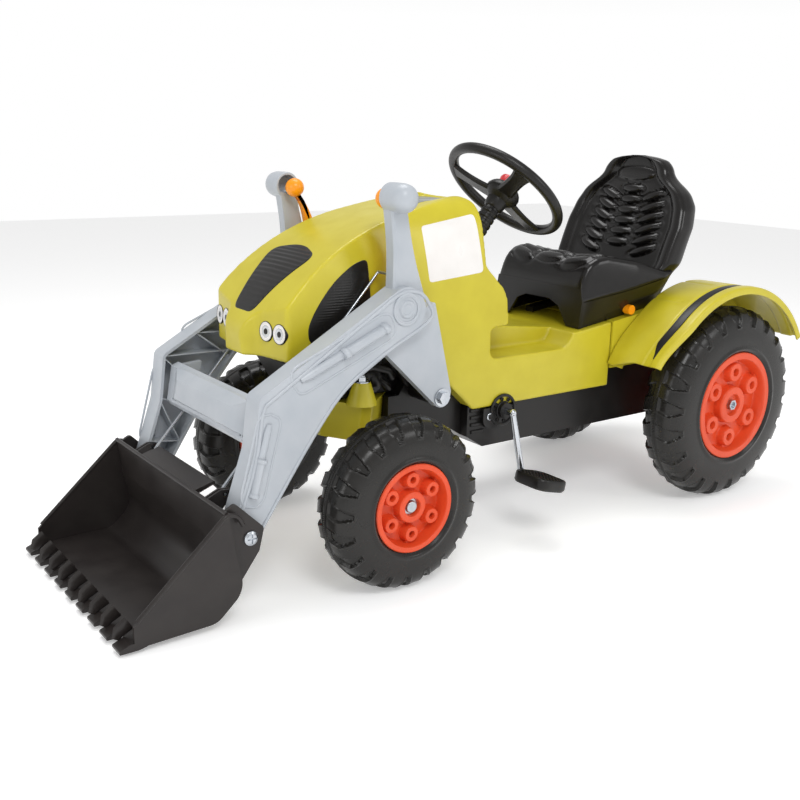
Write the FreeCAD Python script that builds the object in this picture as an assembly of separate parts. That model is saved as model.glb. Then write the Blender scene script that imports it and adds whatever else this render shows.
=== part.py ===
"""Pedal tractor with a front loader, a ride-on toy, as separate moulded and steel pieces.

Millimetres. While it is built, y = 0 is the front axle and y grows towards the rear, x grows
towards the rider's left, and z = 0 is the ground. The last step moves every piece along y so
that the middle of the whole length comes to the origin.
"""
import FreeCAD, Part
import math
import os

V = FreeCAD.Vector

# ---------------------------------------------------------------- driving sizes
WHEELBASE = 772.0
TRACK_HALF = 262.0            # middle of the tractor to the outer face of a tyre

FRONT_TYRE_R = 137.0
FRONT_TYRE_WIDTH = 92.0
FRONT_RIM_R = 71.0
REAR_TYRE_R = 188.0
REAR_TYRE_WIDTH = 96.0
REAR_RIM_R = 105.0
TYRE_WALL = 6.0
TYRE_LUG = 4.5                # height of a tread lug
FRONT_LUGS = 20
REAR_LUGS = 22
RIM_RECESS = 3.0              # rim lip set in from the tyre's side
RIM_DISH = 22.0               # depth of the dished rim face

AXLE_R = 6.0                  # steel rod of the rear axle and the pedal crank
STUB_R = 8.0                  # front stub axle
RUNNING = 0.06                # radial clearance of a turning fit
GAP = 0.4                     # clearance between pieces that move past each other
WALL = 4.0                    # wall of the blow-moulded body

BODY_HALF = 125.0             # lower body, middle to side
BODY_LOW = 227.0              # lower edge of the lime body
DECK_FRONT_Z = 338.0          # deck height at the front of the seat
DECK_SLOPE = 0.13
HOOD_LOW = 348.0              # lower edge of the bonnet
HOOD_REAR_Y = 252.0
SHOULDER = 46.0               # the bonnet's lower rear part runs this much further back
HOOD_TOP = 588.0              # bonnet height at the dashboard
NOSE_Y = -172.0
STEP_Z = 312.0                # floor of a footwell
STEP_REAR_Y = 456.0
BODY_FOOT_Y = 222.0           # where the chassis rises to carry the footwell floors
HOOD_FOOT_Y = 90.0            # the body's front edge slants down from here to the foot
TUNNEL_HALF = 60.0            # raised middle between the footwells
BODY_REAR_Y = 556.0

CHASSIS_HALF = 116.0
CHASSIS_LOW = 155.0
CHASSIS_WALL = 6.0
CHASSIS_NARROW = 96.0         # half width where the front tyres turn
CHASSIS_FRONT_Y = 62.0
CHASSIS_REAR_Y = 824.0

FENDER_GAP = 37.0             # tyre to the inside of the fender
FENDER_WALL = 4.0
FENDER_OUT = 256.0            # outer edge of a fender
FENDER_FRONT_ANGLE = 156.0    # ends of the fender, from the horizontal behind the axle
FENDER_REAR_ANGLE = 30.0
STRIPE_WIDTH = 20.0
LIP_BAND = 22.0               # raised band outside the stripe

KINGPIN_X = 110.0
KINGPIN_R = 6.0
CARRIER_LOW = 206.0
CARRIER_TOP = 268.0
CARRIER_CONE = 36.0
STEER_REACH = 62.0            # kingpin to tie rod
ROD_SLOT = 4.9                # half of the slot that the tie rod's pin runs in

WHEEL_CENTRE = (381.0, 588.0) # steering wheel, y and z
WHEEL_R = 120.0
WHEEL_RIM_R = 9.5
WHEEL_TILT = 42.0             # lean of the steering column from upright
COLUMN_R = 11.0

CRANK_Y = 288.0
CRANK_Z = 219.0
CRANK_ARM = 110.0
CRANK_PHASE = -81.0           # the left arm, from the horizontal behind the shaft
CRANK_OUT = 152.0             # where the crank leaves the bearing plate and bends
PEDAL_IN = 172.0
PEDAL_WIDTH = 80.0
PEDAL_LENGTH = 76.0
PEDAL_THICK = 20.0
PEDAL_TILT = 14.0
CRANK_TEETH = 22
AXLE_TEETH = 14
TOOTH_PITCH = 12.7
SPROCKET_X = -60.0
SPROCKET_THICK = 4.0

PIVOT = (118.0, 274.0)        # loader's pivot bolts, y and z
PIVOT_R = 6.0
STRUT_IN = 149.0
STRUT_OUT = 166.0
ARM_IN = 147.0
ARM_OUT = 185.0
ARM_WEB = 4.0
BOSS = (29.7, 428.2)          # arm, strut, handle and lever meet here
ARM_END_R = 38.0
ARM_ANGLE = 30.0
BUCKET_BOLT = (-245.8, 123.6)
BUCKET_BOLT_R = 6.0
BEAM_TOP = (-209.0, 303.0)
BEAM_LOW = (-219.0, 246.0)
BEAM_WALL = 4.0
BEAM_FLANGE = 12.0             # top flange, short enough to pass the nose when lifted

KNOB = (18.0, 593.0)          # handle knob, y and z
KNOB_R = 22.0
KNOB_IN = 153.0
KNOB_OUT = 188.0
LEVER_IN = 127.0
LEVER_OUT = 141.0
LEVER_BALL_R = 16.0
LUG_ARM = 50.0                # bucket bolt to rod, and lever pivot to rod
LUG_ANGLE = 100.0
ROD_R = 2.2
ROD_X = 120.0
LEVER_PIN_R = 5.0

BUCKET_HALF = 208.0
BUCKET_WALL = 5.0
BUCKET_BACK_TOP = (-285.0, 174.0)
BUCKET_LIP = (-428.0, 40.0)
BUCKET_HEEL = (-262.0, 26.0)
TEETH = 9
TOOTH_WIDTH = 27.0
TOOTH_TIP_Y = -449.6
TOOTH_LOW = 5.5
EAR_X = 190.0                 # bucket ears run outside the arms
EAR_THICK = 6.0

SEAT_HALF = 150.0
SEAT_FOOT_HALF = 116.0
SEAT_FRONT_Y = 476.0
SEAT_TOP = 651.0
SEAT_WALL = 5.0
SEAT_CLEAR = 0.3              # seat's foot above the deck it slides on
RAIL_X = 60.0
RAIL_HIGH = 10.0
RAIL_START = 514.0
RAIL_END = 650.0
LATCH_R = 9.0

HITCH_BORE_R = 8.5
HITCH_PLATE = 10.0

AXLE_FRONT_Z = FRONT_TYRE_R
AXLE_REAR_Z = REAR_TYRE_R


# ---------------------------------------------------------------- shape helpers
def yz(x):
    return lambda a, b: V(x, a, b)


def xz(y):
    return lambda a, b: V(a, y, b)


def xy(z):
    return lambda a, b: V(a, b, z)


def outline(points, place):
    """A closed wire through (a, b) or (a, b, corner radius) points."""
    edges = []
    starts = []
    count = len(points)
    for i in range(count):
        here = points[i]
        before = points[i - 1]
        after = points[(i + 1) % count]
        radius = here[2] if len(here) > 2 else 0.0
        p = V(here[0], here[1], 0)
        to_before = (V(before[0], before[1], 0) - p)
        to_after = (V(after[0], after[1], 0) - p)
        if radius <= 0:
            starts.append((p, None, p))
            continue
        room = 0.49 * min(to_before.Length, to_after.Length)
        to_before.normalize()
        to_after.normalize()
        half = to_before.getAngle(to_after) / 2
        back = min(radius / math.tan(half), room)
        radius = back * math.tan(half)
        middle = to_before + to_after
        middle.normalize()
        centre = p + middle * (radius / math.sin(half))
        starts.append((p + to_before * back, centre - middle * radius, p + to_after * back))
    for i in range(count):
        first, mid, last = starts[i]
        following = starts[(i + 1) % count][0]
        a = place(first.x, first.y)
        c = place(last.x, last.y)
        if mid is not None:
            edges.append(Part.Arc(a, place(mid.x, mid.y), c).toShape())
        end = place(following.x, following.y)
        if (end - c).Length > 1e-6:
            edges.append(Part.LineSegment(c, end).toShape())
    return Part.Wire(edges)


def prism(points, place, along):
    return Part.Face(outline(points, place)).extrude(along)


def plate(points, x0, x1):
    """An outline in y and z, thick from x0 to x1."""
    return prism(points, yz(x0), V(x1 - x0, 0, 0))


def box(x0, x1, y0, y1, z0, z1):
    return Part.makeBox(x1 - x0, y1 - y0, z1 - z0, V(x0, y0, z0))


def bar(start, end, radius):
    along = end - start
    return Part.makeCylinder(radius, along.Length, start, along)


def disc(y, z, radius, x0, x1):
    return bar(V(x0, y, z), V(x1, y, z), radius)


def turned(points, y, z):
    """A solid turned about the x direction through (y, z) from (x, r) points."""
    wire = outline(points, lambda a, b: V(a, y, z + b))
    return Part.Face(wire).revolve(V(0, y, z), V(1, 0, 0), 360)


def mirrored(shape):
    return shape.mirror(V(0, 0, 0), V(1, 0, 0))


def joined(shapes):
    result = shapes[0].fuse(shapes[1:]) if len(shapes) > 1 else shapes[0]
    return result.removeSplitter()


def less(shape, tools):
    return shape.cut(Part.makeCompound(tools))


def turned_about_x(shape, y, z, degrees):
    copy = shape.copy()
    copy.rotate(V(0, y, z), V(1, 0, 0), degrees)
    return copy


def on_circle(centre, radius, degrees):
    a = math.radians(degrees)
    return (centre[0] + radius * math.cos(a), centre[1] + radius * math.sin(a))


# ---------------------------------------------------------------- wheels
def tyre(y, z, radius, width, rim_r, lugs):
    """Left tyre: rounded body with a band of lugs to each side of the middle."""
    out = TRACK_HALF
    inner = out - width
    base = radius - TYRE_LUG
    shoulder = 0.28 * width
    t = TYRE_WALL
    profile = [(inner, rim_r), (inner, base - shoulder, shoulder * 0.9),
               (inner + shoulder * 0.8, base, shoulder),
               (out - shoulder * 0.8, base, shoulder), (out, base - shoulder, shoulder * 0.9),
               (out, rim_r),
               (out - t, rim_r), (out - t, base - shoulder - t, shoulder * 0.8),
               (out - shoulder, base - t, shoulder * 0.6),
               (inner + shoulder, base - t, shoulder * 0.6), (inner + t, base - shoulder - t,
                                                              shoulder * 0.8),
               (inner + t, rim_r)]
    body = turned(profile, y, z)
    lug_long = 2 * math.pi * radius / lugs * 0.6
    half = width / 2 - 8.0
    solids = [body]
    for i in range(lugs):
        for side, phase in ((0, 0.0), (1, 0.5)):
            x0 = inner + 3.0 if side == 0 else out - 3.0 - half
            block = box(x0, x0 + half, y - lug_long / 2, y + lug_long / 2, z + base - 4.0, z + radius)
            lip = V(x0, y, z + radius) if side == 0 else V(x0 + half, y, z + radius)
            chamfer = Part.makeBox(2 * half, 2 * lug_long, 30, V(-half, -lug_long, 0))
            chamfer.rotate(V(0, 0, 0), V(0, 1, 0), -42 if side == 0 else 42)
            chamfer.translate(lip + V(8 if side == 0 else -8, 0, 0))
            block = block.cut(chamfer)
            solids.append(turned_about_x(block, y, z, 360.0 * (i + phase) / lugs))
    outside = turned([(inner, rim_r), (inner, radius), (out, radius), (out, rim_r)], y, z)
    return joined(solids).common(outside)


def rim(y, z, width, rim_r, bore, posts):
    """Left rim: closed hollow drum, dished face with a hub and a ring of hollow posts."""
    out = TRACK_HALF - RIM_RECESS
    inner = TRACK_HALF - width + RIM_RECESS
    face = out - RIM_DISH
    r = rim_r - GAP
    block = turned([(inner, bore), (inner, r), (out, r), (out, r - 8, 3), (face, r - 14, 6),
                    (face, bore)], y, z)
    sealed = turned([(inner + 6, bore + 9), (inner + 6, r - 7), (face - 5, r - 18),
                     (face - 5, bore + 9)], y, z)
    hub_r = 0.30 * rim_r + 2.0
    hub = turned([(face - 2, bore), (face - 2, hub_r), (out - 6, hub_r, 3), (out - 6, bore + 10.0),
                  (out - 16, bore + 10.0), (out - 16, bore)], y, z)
    solids = [block.cut(sealed), hub]
    post_r = 0.15 * rim_r + 1.0
    ring = 0.62 * rim_r
    for i in range(posts):
        cy, cz = on_circle((y, z), ring, 90 + 360.0 * i / posts)
        post = disc(cy, cz, post_r, face - 2, out - 9)
        solids.append(less(post, [disc(cy, cz, post_r * 0.45, face + 3, out)]))
    return joined(solids)


# ---------------------------------------------------------------- body and chassis
def deck_z(y):
    return DECK_FRONT_Z + (y - STEP_REAR_Y) * DECK_SLOPE


def body_block(inset):
    """Outer block of the bonnet and lower body, or its hollow when inset is the wall."""
    i = inset
    low = BODY_LOW + i
    hood_low = HOOD_LOW + i
    side = [(NOSE_Y + i, hood_low), (NOSE_Y + i, HOOD_LOW + 40 - i, 10), (-52 + i, 498 - i, 40),
            (60, 548 - i), (HOOD_REAR_Y - 26 - i, HOOD_TOP - i, 14),
            (HOOD_REAR_Y - i, HOOD_TOP - 16 - i, 6),
            (HOOD_REAR_Y - i, 470 - i), (HOOD_REAR_Y + SHOULDER - i, 424 - i, 10),
            (HOOD_REAR_Y + SHOULDER - i, 356 - i),
            (STEP_REAR_Y + 6, deck_z(STEP_REAR_Y + 6) - i),
            (BODY_REAR_Y - i, deck_z(BODY_REAR_Y) - i), (BODY_REAR_Y - i, low), (BODY_FOOT_Y + i, low),
            (HOOD_FOOT_Y + i, hood_low)]
    front = [(-BODY_HALF + i, low - 5), (-BODY_HALF + i, 352), (-92 + i, 548), (-52 + i, HOOD_TOP - i),
             (52 - i, HOOD_TOP - i), (92 - i, 548), (BODY_HALF - i, 352), (BODY_HALF - i, low - 5)]
    top = [(-70 + i, NOSE_Y + i, 20), (70 - i, NOSE_Y + i, 20), (107 - i, -96 + i, 30),
           (BODY_HALF - i, 60),
           (BODY_HALF - i, BODY_REAR_Y), (-BODY_HALF + i, BODY_REAR_Y), (-BODY_HALF + i, 60),
           (-107 + i, -96 + i, 30)]
    block = prism(side, yz(-200), V(400, 0, 0))
    block = block.common(prism(front, xz(NOSE_Y - 10), V(0, 900, 0)))
    return block.common(prism(top, xy(low - 10), V(0, 0, 500)))


def footwell(sign, grow):
    x0, x1 = TUNNEL_HALF - grow, BODY_HALF + 30
    front = HOOD_REAR_Y + 4 - grow
    well = prism([(front, STEP_Z - grow, 12), (STEP_REAR_Y + grow - 24, STEP_Z - grow, 8),
                  (STEP_REAR_Y + grow, DECK_FRONT_Z + 14), (STEP_REAR_Y + grow, 420),
                  (HOOD_REAR_Y + SHOULDER, 420), (HOOD_REAR_Y + SHOULDER, 366, 8), (front, 366, 14)],
                 yz(x0), V(x1 - x0, 0, 0))
    return well if sign > 0 else mirrored(well)


def body_shell():
    outer = less(body_block(0), [footwell(1, 0), footwell(-1, 0)])
    hollow = less(body_block(WALL), [footwell(1, WALL), footwell(-1, WALL)])
    shell = outer.cut(hollow)
    column_hole = bar(column_at(-215), column_at(-140), COLUMN_R + 8)
    chassis_room = plate(chassis_outline(0), -CHASSIS_HALF, CHASSIS_HALF)
    crank_hole = disc(CRANK_Y, CRANK_Z, AXLE_R + 8, -200, 200)
    return less(shell, [column_hole, crank_hole, chassis_room] + grille_windows())


def grille_windows():
    """Openings that the grilles fill: one in the nose and one in each bonnet side."""
    nose = box(-58, 58, NOSE_Y - 5, -40, 418, 486)
    side = plate([(-92, 404, 10), (-20, 470, 30), (2, 484, 8), (2, 362, 8), (-40, 362, 20)], 60, 140)
    return [nose, side, mirrored(side)]


def grille_body(window):
    """What fills a window: the bonnet block's skin, half the wall thick and set in."""
    skin = body_block(1.2).cut(body_block(WALL - 0.6))
    return skin.common(window)


def rear_deck():
    low = 262.0
    start = BODY_REAR_Y + GAP
    def block(i):
        drop = 10 if i else 0
        pts = [(start - drop, low - drop), (start - drop, deck_z(start) - i), (700, deck_z(700) - i, 30),
               (CHASSIS_REAR_Y + 18 - i, 340 - i, 30), (CHASSIS_REAR_Y + 18 - i, low - drop)]
        return plate(pts, -BODY_HALF + i, BODY_HALF - i)
    shell = block(0).cut(block(WALL))
    return less(shell, [plate(chassis_outline(0), -CHASSIS_HALF, CHASSIS_HALF)])


def chassis_outline(grow):
    g = grow
    floor = STEP_Z - WALL
    return [(CHASSIS_FRONT_Y - g, 212 - g), (CHASSIS_FRONT_Y - g, 266 + g), (BODY_FOOT_Y, 266 + g),
            (BODY_FOOT_Y, floor + g), (STEP_REAR_Y - 50, floor + g), (STEP_REAR_Y - 34, 262 + g),
            (CHASSIS_REAR_Y + g, 262 + g),
            (CHASSIS_REAR_Y + g, 166 - g, 12), (690, CHASSIS_LOW - g), (252, CHASSIS_LOW - g),
            (188, 196 - g)]


def chassis_tub():
    wide = plate(chassis_outline(0), -CHASSIS_HALF, CHASSIS_HALF)
    for sign in (1, -1):
        lo, hi = sorted((sign * CHASSIS_NARROW, sign * 200))
        wide = wide.cut(box(lo, hi, 0, 216, 100, 320))
    w = CHASSIS_WALL
    front_y = BODY_FOOT_Y + w
    rear_y = CHASSIS_REAR_Y - w
    cavity = [(front_y, 190), (256, CHASSIS_LOW + w), (690, CHASSIS_LOW + w), (rear_y, 172),
              (rear_y, 262 - w),
              (STEP_REAR_Y - 50 - w, 262 - w), (STEP_REAR_Y - 50 - w, STEP_Z - WALL - w),
              (front_y, STEP_Z - WALL - w)]
    slot_in, slot_out = SPROCKET_X + 14, SPROCKET_X - 14
    sealed = [plate(cavity, slot_in + w, CHASSIS_HALF - w), plate(cavity, -CHASSIS_HALF + w,
                                                                  slot_out - w),
              box(-CHASSIS_NARROW + w, CHASSIS_NARROW - w, CHASSIS_FRONT_Y + w, BODY_FOOT_Y - w, 220,
                  266 - w)]
    chain_way = [box(slot_out, slot_in, front_y, BODY_REAR_Y, 200, 300),
                 box(slot_out, slot_in, front_y, rear_y, 100, 262 - w)]
    tub = less(wide, sealed + chain_way)
    boss = disc(PIVOT[0], PIVOT[1], 16, -STRUT_IN + GAP, STRUT_IN - GAP)
    cheek = plate([(CHASSIS_FRONT_Y + 18, 262), (PIVOT[0] - 18, 292, 10), (PIVOT[0] + 18, 292, 10),
                   (178, 262)],
                  -CHASSIS_NARROW, CHASSIS_NARROW)
    tub = joined([tub, cheek, boss])
    holes = [disc(WHEELBASE, AXLE_REAR_Z, AXLE_R + 7, -200, 200),
             disc(CRANK_Y, CRANK_Z, AXLE_R + 8, -200, 200),
             disc(PIVOT[0], PIVOT[1], PIVOT_R, -200, 200)]
    return less(tub, holes)


def engine_moulding():
    """Black dummy engine between the bonnet and the axle carrier, with ribs and pots."""
    top = HOOD_LOW - GAP
    slant = (BODY_FOOT_Y - HOOD_FOOT_Y) / (HOOD_LOW - BODY_LOW)
    foot = CARRIER_TOP + 1
    rear_y = HOOD_FOOT_Y + slant * (HOOD_LOW - foot) - 2
    core = plate([(-58, foot), (-92, 326), (-92, top), (HOOD_FOOT_Y - 2, top), (rear_y, foot)], -74, 74)
    solids = [core]
    for sign in (1, -1):
        for i in range(3):
            y = -46 + 42 * i
            solids.append(bar(V(sign * 78, y, 296), V(sign * 78, y, top), 11))
        lo, hi = sorted((sign * 70, sign * 92))
        solids.append(box(lo, hi, -60, 70, 322, 334))
        solids.append(disc(40, 296, 13, lo, hi))
    sealed = plate([(-52, foot + 6), (-86, 330), (-86, top - 6), (HOOD_FOOT_Y - 12, top - 6),
                    (rear_y - 14, foot + 6)], -68, 68)
    engine = joined(solids).cut(sealed)
    steering_way = bar(column_at(-420), column_at(0), COLUMN_R + 6)
    cut = less(engine, [chassis_tub(), plate(chassis_outline(0), -CHASSIS_HALF, CHASSIS_HALF),
                        steering_way])
    return max(cut.Solids, key=lambda solid: solid.Volume)


def column_at(distance):
    """A point on the steering column's line, measured up from the wheel's middle."""
    a = math.radians(WHEEL_TILT)
    return V(0, WHEEL_CENTRE[0] + distance * math.sin(a), WHEEL_CENTRE[1] + distance * math.cos(a))


def axle_carrier():
    """Lime front axle carrier, six-sided from above, with a cone over each kingpin."""
    plan = [(-58, -42, 6), (58, -42, 6), (124, -8, 6), (124, 12, 6), (66, 78, 6), (-66, 78, 6),
            (-124, 12, 6),
            (-124, -8, 6)]
    low_plan = [(a * 0.92, b, r) for a, b, r in plan]
    bottom = outline(low_plan, xy(CARRIER_LOW))
    top = outline(plan, xy(CARRIER_TOP))
    block = Part.makeLoft([bottom, top], True, True)
    cones = []
    for x in (KINGPIN_X, -KINGPIN_X):
        cones.append(Part.makeCone(25, 14, CARRIER_CONE, V(x, 0, CARRIER_TOP - 1)))
    block = joined([block] + cones)
    pins = [bar(V(x, 0, CARRIER_LOW - 5), V(x, 0, 400), KINGPIN_R) for x in (KINGPIN_X, -KINGPIN_X)]
    chassis_room = plate(chassis_outline(0), -CHASSIS_NARROW, CHASSIS_NARROW)
    return less(block, pins + [chassis_room])


def kingpins():
    """Steel kingpin with its hexagon nut on the cone and a collar below the knuckle."""
    result = []
    top = CARRIER_TOP - 1 + CARRIER_CONE
    for x in (KINGPIN_X, -KINGPIN_X):
        pin = bar(V(x, 0, AXLE_FRONT_Z - 30), V(x, 0, top + 11), KINGPIN_R)
        nut = prism([(x + 10 * math.cos(math.radians(60 * i)), 10 * math.sin(math.radians(60 * i)))
                     for i in range(6)], xy(top), V(0, 0, 9))
        washer = bar(V(x, 0, top), V(x, 0, top + 1.6), 13)
        collar = bar(V(x, 0, AXLE_FRONT_Z - 30), V(x, 0, AXLE_FRONT_Z - 24 - GAP), 10)
        result.append(joined([pin, nut, washer, collar]))
    return Part.makeCompound(result)


def fender():
    """Left fender: an arched sheet round the rear tyre with a turned-down inner side."""
    centre = (WHEELBASE, AXLE_REAR_Z)
    outer = REAR_TYRE_R + FENDER_GAP + FENDER_WALL
    inner = outer - FENDER_WALL
    a0, a1 = math.radians(FENDER_REAR_ANGLE), math.radians(FENDER_FRONT_ANGLE)

    def ring(r_in, r_out, x0, x1):
        mid = (a0 + a1) / 2
        def p(r, a):
            return V(x0, centre[0] + r * math.cos(a), centre[1] + r * math.sin(a))
        wire = Part.Wire([Part.Arc(p(r_out, a0), p(r_out, mid), p(r_out, a1)).toShape(),
                          Part.LineSegment(p(r_out, a1), p(r_in, a1)).toShape(),
                          Part.Arc(p(r_in, a1), p(r_in, mid), p(r_in, a0)).toShape(),
                          Part.LineSegment(p(r_in, a0), p(r_out, a0)).toShape()])
        return Part.Face(wire).extrude(V(x1 - x0, 0, 0))

    sheet = ring(inner, outer, BODY_HALF + GAP, FENDER_OUT)
    lip = ring(inner - 9, inner + 1, FENDER_OUT - FENDER_WALL, FENDER_OUT)
    web = ring(120, inner + 1, BODY_HALF + GAP, BODY_HALF + GAP + FENDER_WALL)
    web = web.cut(box(0, 300, 0, 1200, 0, 262))
    tab = plate([(BODY_REAR_Y - 12, 300, 3), (BODY_REAR_Y - 2, 332, 3), (BODY_REAR_Y + 50, 332, 3),
                 (BODY_REAR_Y + 50, 300, 3)], BODY_HALF + GAP, BODY_HALF + GAP + 3)
    return joined([sheet, lip, web, tab])


def fender_stripes():
    centre = (WHEELBASE, AXLE_REAR_Z)
    outer = REAR_TYRE_R + FENDER_GAP + FENDER_WALL
    band = disc(centre[0], centre[1], outer + 0.8, FENDER_OUT - LIP_BAND - STRIPE_WIDTH,
                FENDER_OUT - LIP_BAND)
    band = band.cut(disc(centre[0], centre[1], outer, 0, 300))
    band = band.common(plate([centre, on_circle(centre, 420, FENDER_REAR_ANGLE + 8),
                              on_circle(centre, 420, 90),
                              on_circle(centre, 420, FENDER_FRONT_ANGLE - 5)], 0, 300))
    return Part.makeCompound([band, mirrored(band)])


def headlamps():
    """Two round lamp discs to a side, seated against the slanted nose corners."""
    result = []
    for x, y in ((80.5, -154), (102.5, -126)):
        lean = V(math.cos(math.radians(38)), -math.sin(math.radians(38)), 0)
        start = V(x, y, 393) - lean * 6
        lamp = bar(start, start + lean * 10, 15)
        lamp = lamp.cut(body_block(0))
        solids = sorted(lamp.Solids, key=lambda s: s.CenterOfMass.x)
        result.append(solids[-1])
    return Part.makeCompound(result + [mirrored(s) for s in result])


def side_panels():
    """White panels on the bonnet sides, following the slanted side."""
    outer = body_block(-1.0).cut(body_block(0))
    window = plate([(96, 452, 4), (112, 530, 4), (HOOD_REAR_Y - 8, 540, 4), (HOOD_REAR_Y - 8, 452, 4)],
                   60, 140)
    left = outer.common(window)
    return Part.makeCompound([left, mirrored(left)])


def dashboard_plate():
    """Grey plate in the top of the bonnet before the steering wheel."""
    skin = body_block(-1.2).cut(body_block(0))
    return skin.common(box(-46, 46, 150, HOOD_REAR_Y - 32, 540, 640))


def crank_plates():
    result = []
    for sign in (1, -1):
        x0, x1 = sorted((sign * CHASSIS_HALF, sign * (CHASSIS_HALF + 10)))
        oval = plate([(CRANK_Y - 44, CRANK_Z - 30, 29), (CRANK_Y + 34, CRANK_Z - 30, 29),
                      (CRANK_Y + 34, CRANK_Z + 7), (CRANK_Y - 44, CRANK_Z + 7)], x0, x1)
        x2, x3 = sorted((sign * (CHASSIS_HALF - 14), sign * (CHASSIS_HALF + 20)))
        bush = disc(CRANK_Y, CRANK_Z, AXLE_R + 8, x2, x3)
        screw = disc(CRANK_Y - 30, CRANK_Z - 8, 5, *sorted((sign * CHASSIS_HALF,
                                                            sign * (CHASSIS_HALF + 13))))
        holder = joined([oval, bush, screw])
        result.append(less(holder, [disc(CRANK_Y, CRANK_Z, AXLE_R + RUNNING, -200, 200)]))
    return Part.makeCompound(result)


def axle_bushes():
    result = []
    for sign in (1, -1):
        x0, x1 = sorted((sign * (CHASSIS_HALF - 10), sign * (CHASSIS_HALF + 26)))
        tube = disc(WHEELBASE, AXLE_REAR_Z, AXLE_R + 7, x0, x1)
        collar = disc(WHEELBASE, AXLE_REAR_Z, AXLE_R + 12, *sorted((sign * CHASSIS_HALF,
                                                                    sign * (CHASSIS_HALF + 4))))
        result.append(less(joined([tube, collar]), [disc(WHEELBASE, AXLE_REAR_Z, AXLE_R + RUNNING, -200,
                                                         200)]))
    return Part.makeCompound(result)


def column_bush():
    """Black collar where the steering shaft leaves the bonnet."""
    ring = joined([bar(column_at(-212), column_at(-138), COLUMN_R + 8),
                   bar(column_at(-164), column_at(-158), COLUMN_R + 12),
                   bar(column_at(-150), column_at(-144), COLUMN_R + 12)])
    return ring.cut(bar(column_at(-240), column_at(0), COLUMN_R + RUNNING))


def tow_hitch():
    y = CHASSIS_REAR_Y
    tongue = prism([(-30, y), (30, y), (30, y + 20, 8), (16, y + 62, 15), (-16, y + 62, 15),
                    (-30, y + 20, 8)],
                   xy(205), V(0, 0, HITCH_PLATE))
    flange = box(-44, 44, y, y + 6, 180, 240)
    return less(joined([tongue, flange]), [bar(V(0, y + 40, 190), V(0, y + 40, 230), HITCH_BORE_R)])


def seat_rails():
    result = []
    for x in (RAIL_X, -RAIL_X):
        base = [(RAIL_START, deck_z(RAIL_START)), (RAIL_START, deck_z(RAIL_START) + RAIL_HIGH),
                (RAIL_END, deck_z(RAIL_END) + RAIL_HIGH), (RAIL_END, deck_z(RAIL_END))]
        result.append(plate(base, x - 10, x + 10))
    return Part.makeCompound(result)


def pivot_bolts():
    """Zinc bolt and washer that hold each strut to the chassis boss."""
    result = []
    for sign in (1, -1):
        shank = disc(PIVOT[0], PIVOT[1], PIVOT_R, *sorted((sign * 60, sign * (STRUT_OUT + 4))))
        washer = disc(PIVOT[0], PIVOT[1], 15, *sorted((sign * (STRUT_OUT + GAP),
                                                       sign * (STRUT_OUT + 2.4))))
        head = plate([on_circle(PIVOT, 10.5, 60 * i) for i in range(6)],
                     *sorted((sign * (STRUT_OUT + 2.4), sign * (STRUT_OUT + 9))))
        result.append(joined([shank, washer, head]))
    return Part.makeCompound(result)


# ---------------------------------------------------------------- steering
def steering_wheel():
    """Rim, three spokes and hub, made flat about z and then leaned with the column."""
    ring = Part.makeTorus(WHEEL_R - WHEEL_RIM_R, WHEEL_RIM_R)
    hub = Part.makeCylinder(30, 26, V(0, 0, -30))
    solids = [ring, hub]
    for angle in (90, 210, 330):
        spoke = Part.makeBox(WHEEL_R - WHEEL_RIM_R - 16, 30, 9, V(16, -15, -16))
        spoke.rotate(V(16, 0, -12), V(0, 1, 0), -6)
        spoke.rotate(V(0, 0, 0), V(0, 0, 1), angle)
        solids.append(spoke)
    wheel = joined(solids)
    pocket = Part.makeCylinder(17 + GAP, 14, V(0, 0, -12))
    shaft_bore = Part.makeCylinder(COLUMN_R, 12, V(0, 0, -31))
    return placed_on_column(less(wheel, [pocket, shaft_bore]))


def placed_on_column(shape):
    shape.rotate(V(0, 0, 0), V(1, 0, 0), -WHEEL_TILT)
    shape.translate(V(0, WHEEL_CENTRE[0], WHEEL_CENTRE[1]))
    return shape


def horn_button():
    cap = Part.makeCylinder(17, 13, V(0, 0, -7))
    return placed_on_column(cap.makeFillet(3.0, [cap.Edges[0]]))


def steering_shaft():
    return bar(column_at(-330), column_at(-19), COLUMN_R)


def knuckle():
    """Left knuckle: sleeve on the kingpin, stub axle and steering arm."""
    top = CARRIER_LOW - GAP
    sleeve = bar(V(KINGPIN_X, 0, AXLE_FRONT_Z - 24), V(KINGPIN_X, 0, top), 13)
    stub_end = TRACK_HALF - RIM_RECESS - 16
    stub = disc(0, AXLE_FRONT_Z, STUB_R, KINGPIN_X, stub_end)
    shoulder = disc(0, AXLE_FRONT_Z, 14, KINGPIN_X, TRACK_HALF - FRONT_TYRE_WIDTH + RIM_RECESS - GAP)
    arm = box(KINGPIN_X - 9, KINGPIN_X + 9, -4, STEER_REACH + 12, AXLE_FRONT_Z + 30, AXLE_FRONT_Z + 36)
    body = joined([sleeve, stub, shoulder, arm])
    holes = [bar(V(KINGPIN_X, 0, 0), V(KINGPIN_X, 0, 400), KINGPIN_R + RUNNING),
             box(KINGPIN_X - ROD_SLOT, KINGPIN_X + ROD_SLOT, STEER_REACH - ROD_SLOT,
                 STEER_REACH + ROD_SLOT + 2.5, 160, 180)]
    return less(body, holes)


def tie_rod():
    z = AXLE_FRONT_Z + 36 + GAP
    rod = bar(V(-KINGPIN_X, STEER_REACH, z + 5), V(KINGPIN_X, STEER_REACH, z + 5), 5)
    ends = [bar(V(x, STEER_REACH, z - 9), V(x, STEER_REACH, z + 9), 4) for x in (KINGPIN_X, -KINGPIN_X)]
    eyes = [bar(V(x, STEER_REACH, z), V(x, STEER_REACH, z + 10), 8) for x in (KINGPIN_X, -KINGPIN_X)]
    return joined([rod] + ends + eyes)


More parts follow.
